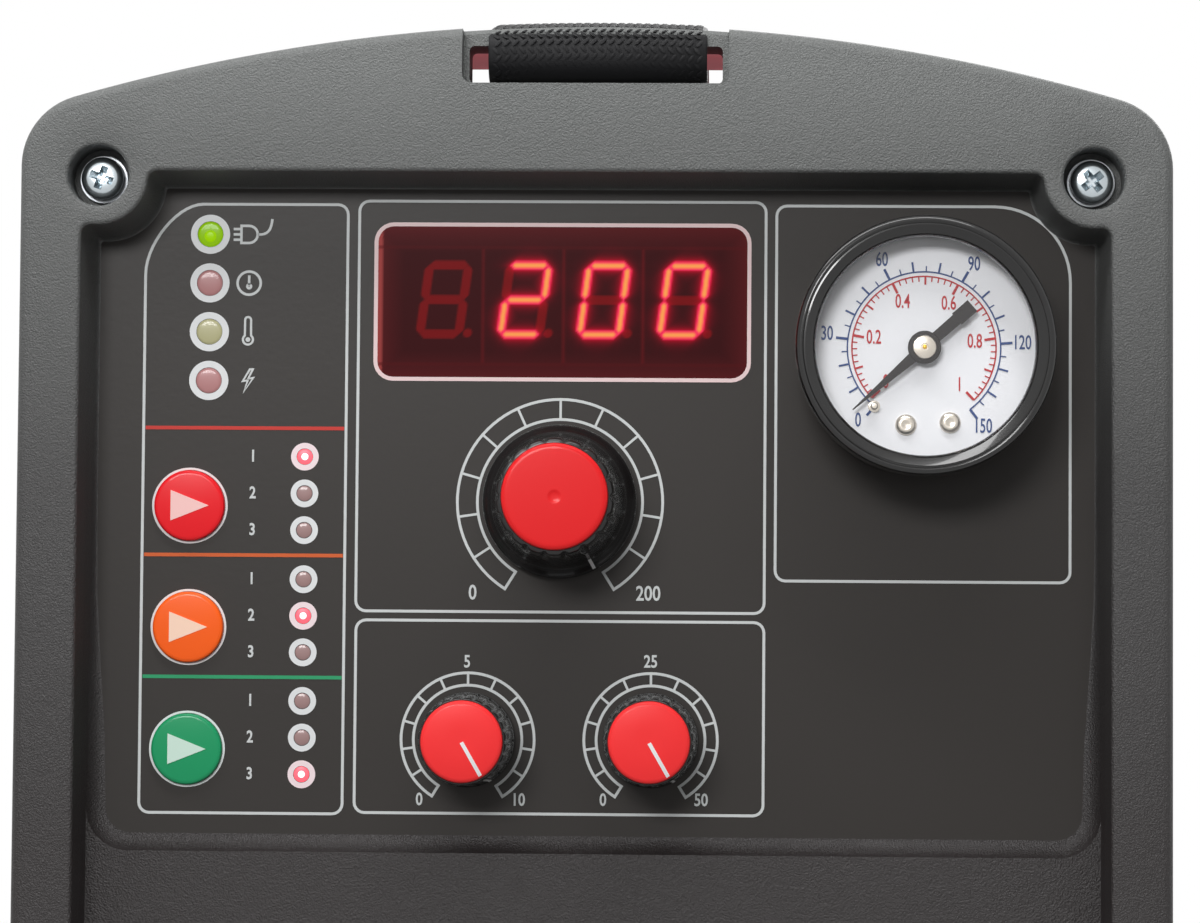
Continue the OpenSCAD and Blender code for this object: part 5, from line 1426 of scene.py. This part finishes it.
def seen(tree):
    """1 for what the camera sees, also in gloss or through glass, and 0 for lighting rays."""
    ray = node(tree, "ShaderNodeLightPath", {}).outputs
    either = maths(tree, "MAXIMUM", ray["Is Camera Ray"], ray["Is Glossy Ray"])
    return maths(tree, "MAXIMUM", either, ray["Is Transmission Ray"])


def mixed(tree, share, first, second, end):
    mix = node(tree, "ShaderNodeMixShader", {0: share, 1: first.outputs[0], 2: second.outputs[0]})
    tree.links.new(mix.outputs[0], tree.nodes[end].inputs["Surface"])


def floor_paint():
    """Pale near the machine, where it takes its shadow, and plain white further off."""
    material = finish("floor_pale", (240, 240, 240), 0.85, specular=0.1)
    tree = material.node_tree
    sight = seen(tree)
    away = node(tree, "ShaderNodeVectorMath", {0: own_place(tree)}, operation="LENGTH")
    fade = node(tree, "ShaderNodeMapRange", {0: away.outputs["Value"], 1: SHADOW_NEAR * MM,
                                             2: SHADOW_FAR * MM, 3: 0.5, 4: 1.0})
    tone = node(tree, "ShaderNodeMix", {0: sight, 6: shade(110, 110, 110),
                                        7: shade(240, 240, 240)}, data_type="RGBA")
    skin = tree.nodes["Principled BSDF"]
    tree.links.new(tone.outputs[2], skin.inputs["Base Color"])
    mixed(tree, maths(tree, "MULTIPLY", fade.outputs[0], sight), skin,
          node(tree, "ShaderNodeEmission", {}), "Material Output")
    return material


def stage_floor():
    ring = [(-1, -1), (1, -1), (1, 1), (-1, 1)]
    mesh = bpy.data.meshes.new("floor")
    mesh.from_pydata([(x * FLOOR_HALF * MM, y * FLOOR_HALF * MM, FLOOR_Z * MM) for x, y in ring],
                     [], [(0, 1, 2, 3)])
    mesh.materials.append(floor_paint())
    floor = placed("floor", mesh)


def pale_world():
    world = bpy.data.worlds.new("studio")
    bpy.context.scene.world = world
    world.use_nodes = True
    tree = world.node_tree
    lamp = tree.nodes["Background"]
    lamp.inputs["Color"].default_value = WHITE
    lamp.inputs["Strength"].default_value = WORLD_LIGHT
    backdrop = node(tree, "ShaderNodeBackground", {"Color": WHITE, "Strength": 1.0})
    mixed(tree, seen(tree), lamp, backdrop, "World Output")


def soft_lamp(name, place, aim, size, watts):
    lamp = bpy.data.lights.new(name, "AREA")
    lamp.shape = "RECTANGLE"
    lamp.size, lamp.size_y = size[0] * MM, size[1] * MM
    lamp.energy = watts
    obj = placed(name, lamp)
    place, aim = Vector(place) * MM, Vector(aim) * MM
    obj.location = place
    obj.rotation_euler = (aim - place).to_track_quat("-Z", "Y").to_euler()


stage_floor()
pale_world()
soft_lamp("lamp_above", (-60, -340, 600), (0, -190, 270), (560, 80), 1.5)
soft_lamp("lamp_key", (-220, -1250, 570), (0, -190, 200), (420, 200), 6.6)
soft_lamp("lamp_behind", (500, 1100, 1100), (0, 0, 150), (1200, 900), 9)
print("stage set")

# %% Camera
CAMERA_AT, CAMERA_TURN = (20.19, -832.03, 196.52), (1.712, 2.808, 0.423)
SENSOR, WIDTHS_AWAY = 36.0, 3872 / 1200


def panel_camera():
    """Turned by yaw, pitch and roll in degrees; the lens sees one width at WIDTHS_AWAY."""
    lens = bpy.data.cameras.new("camera")
    lens.sensor_width = SENSOR
    lens.lens = SENSOR * WIDTHS_AWAY
    lens.clip_end = 50
    yaw, pitch, roll = (math.radians(a) for a in CAMERA_TURN)
    ahead = Vector((-math.sin(yaw), math.cos(yaw), 0))
    side = Vector((math.cos(yaw), math.sin(yaw), 0))
    up = Vector((0, 0, 1))
    look = ahead * math.cos(pitch) + up * math.sin(pitch)
    top = up * math.cos(pitch) - ahead * math.sin(pitch)
    across = side * math.cos(roll) + top * math.sin(roll)
    top = top * math.cos(roll) - side * math.sin(roll)
    obj = placed("camera", lens)
    turn = Matrix((across, top, -look)).transposed().to_4x4()
    obj.matrix_world = Matrix.Translation(Vector(CAMERA_AT) * MM) @ turn
    bpy.context.scene.camera = obj


panel_camera()
bpy.context.scene.view_settings.view_transform = "Standard"
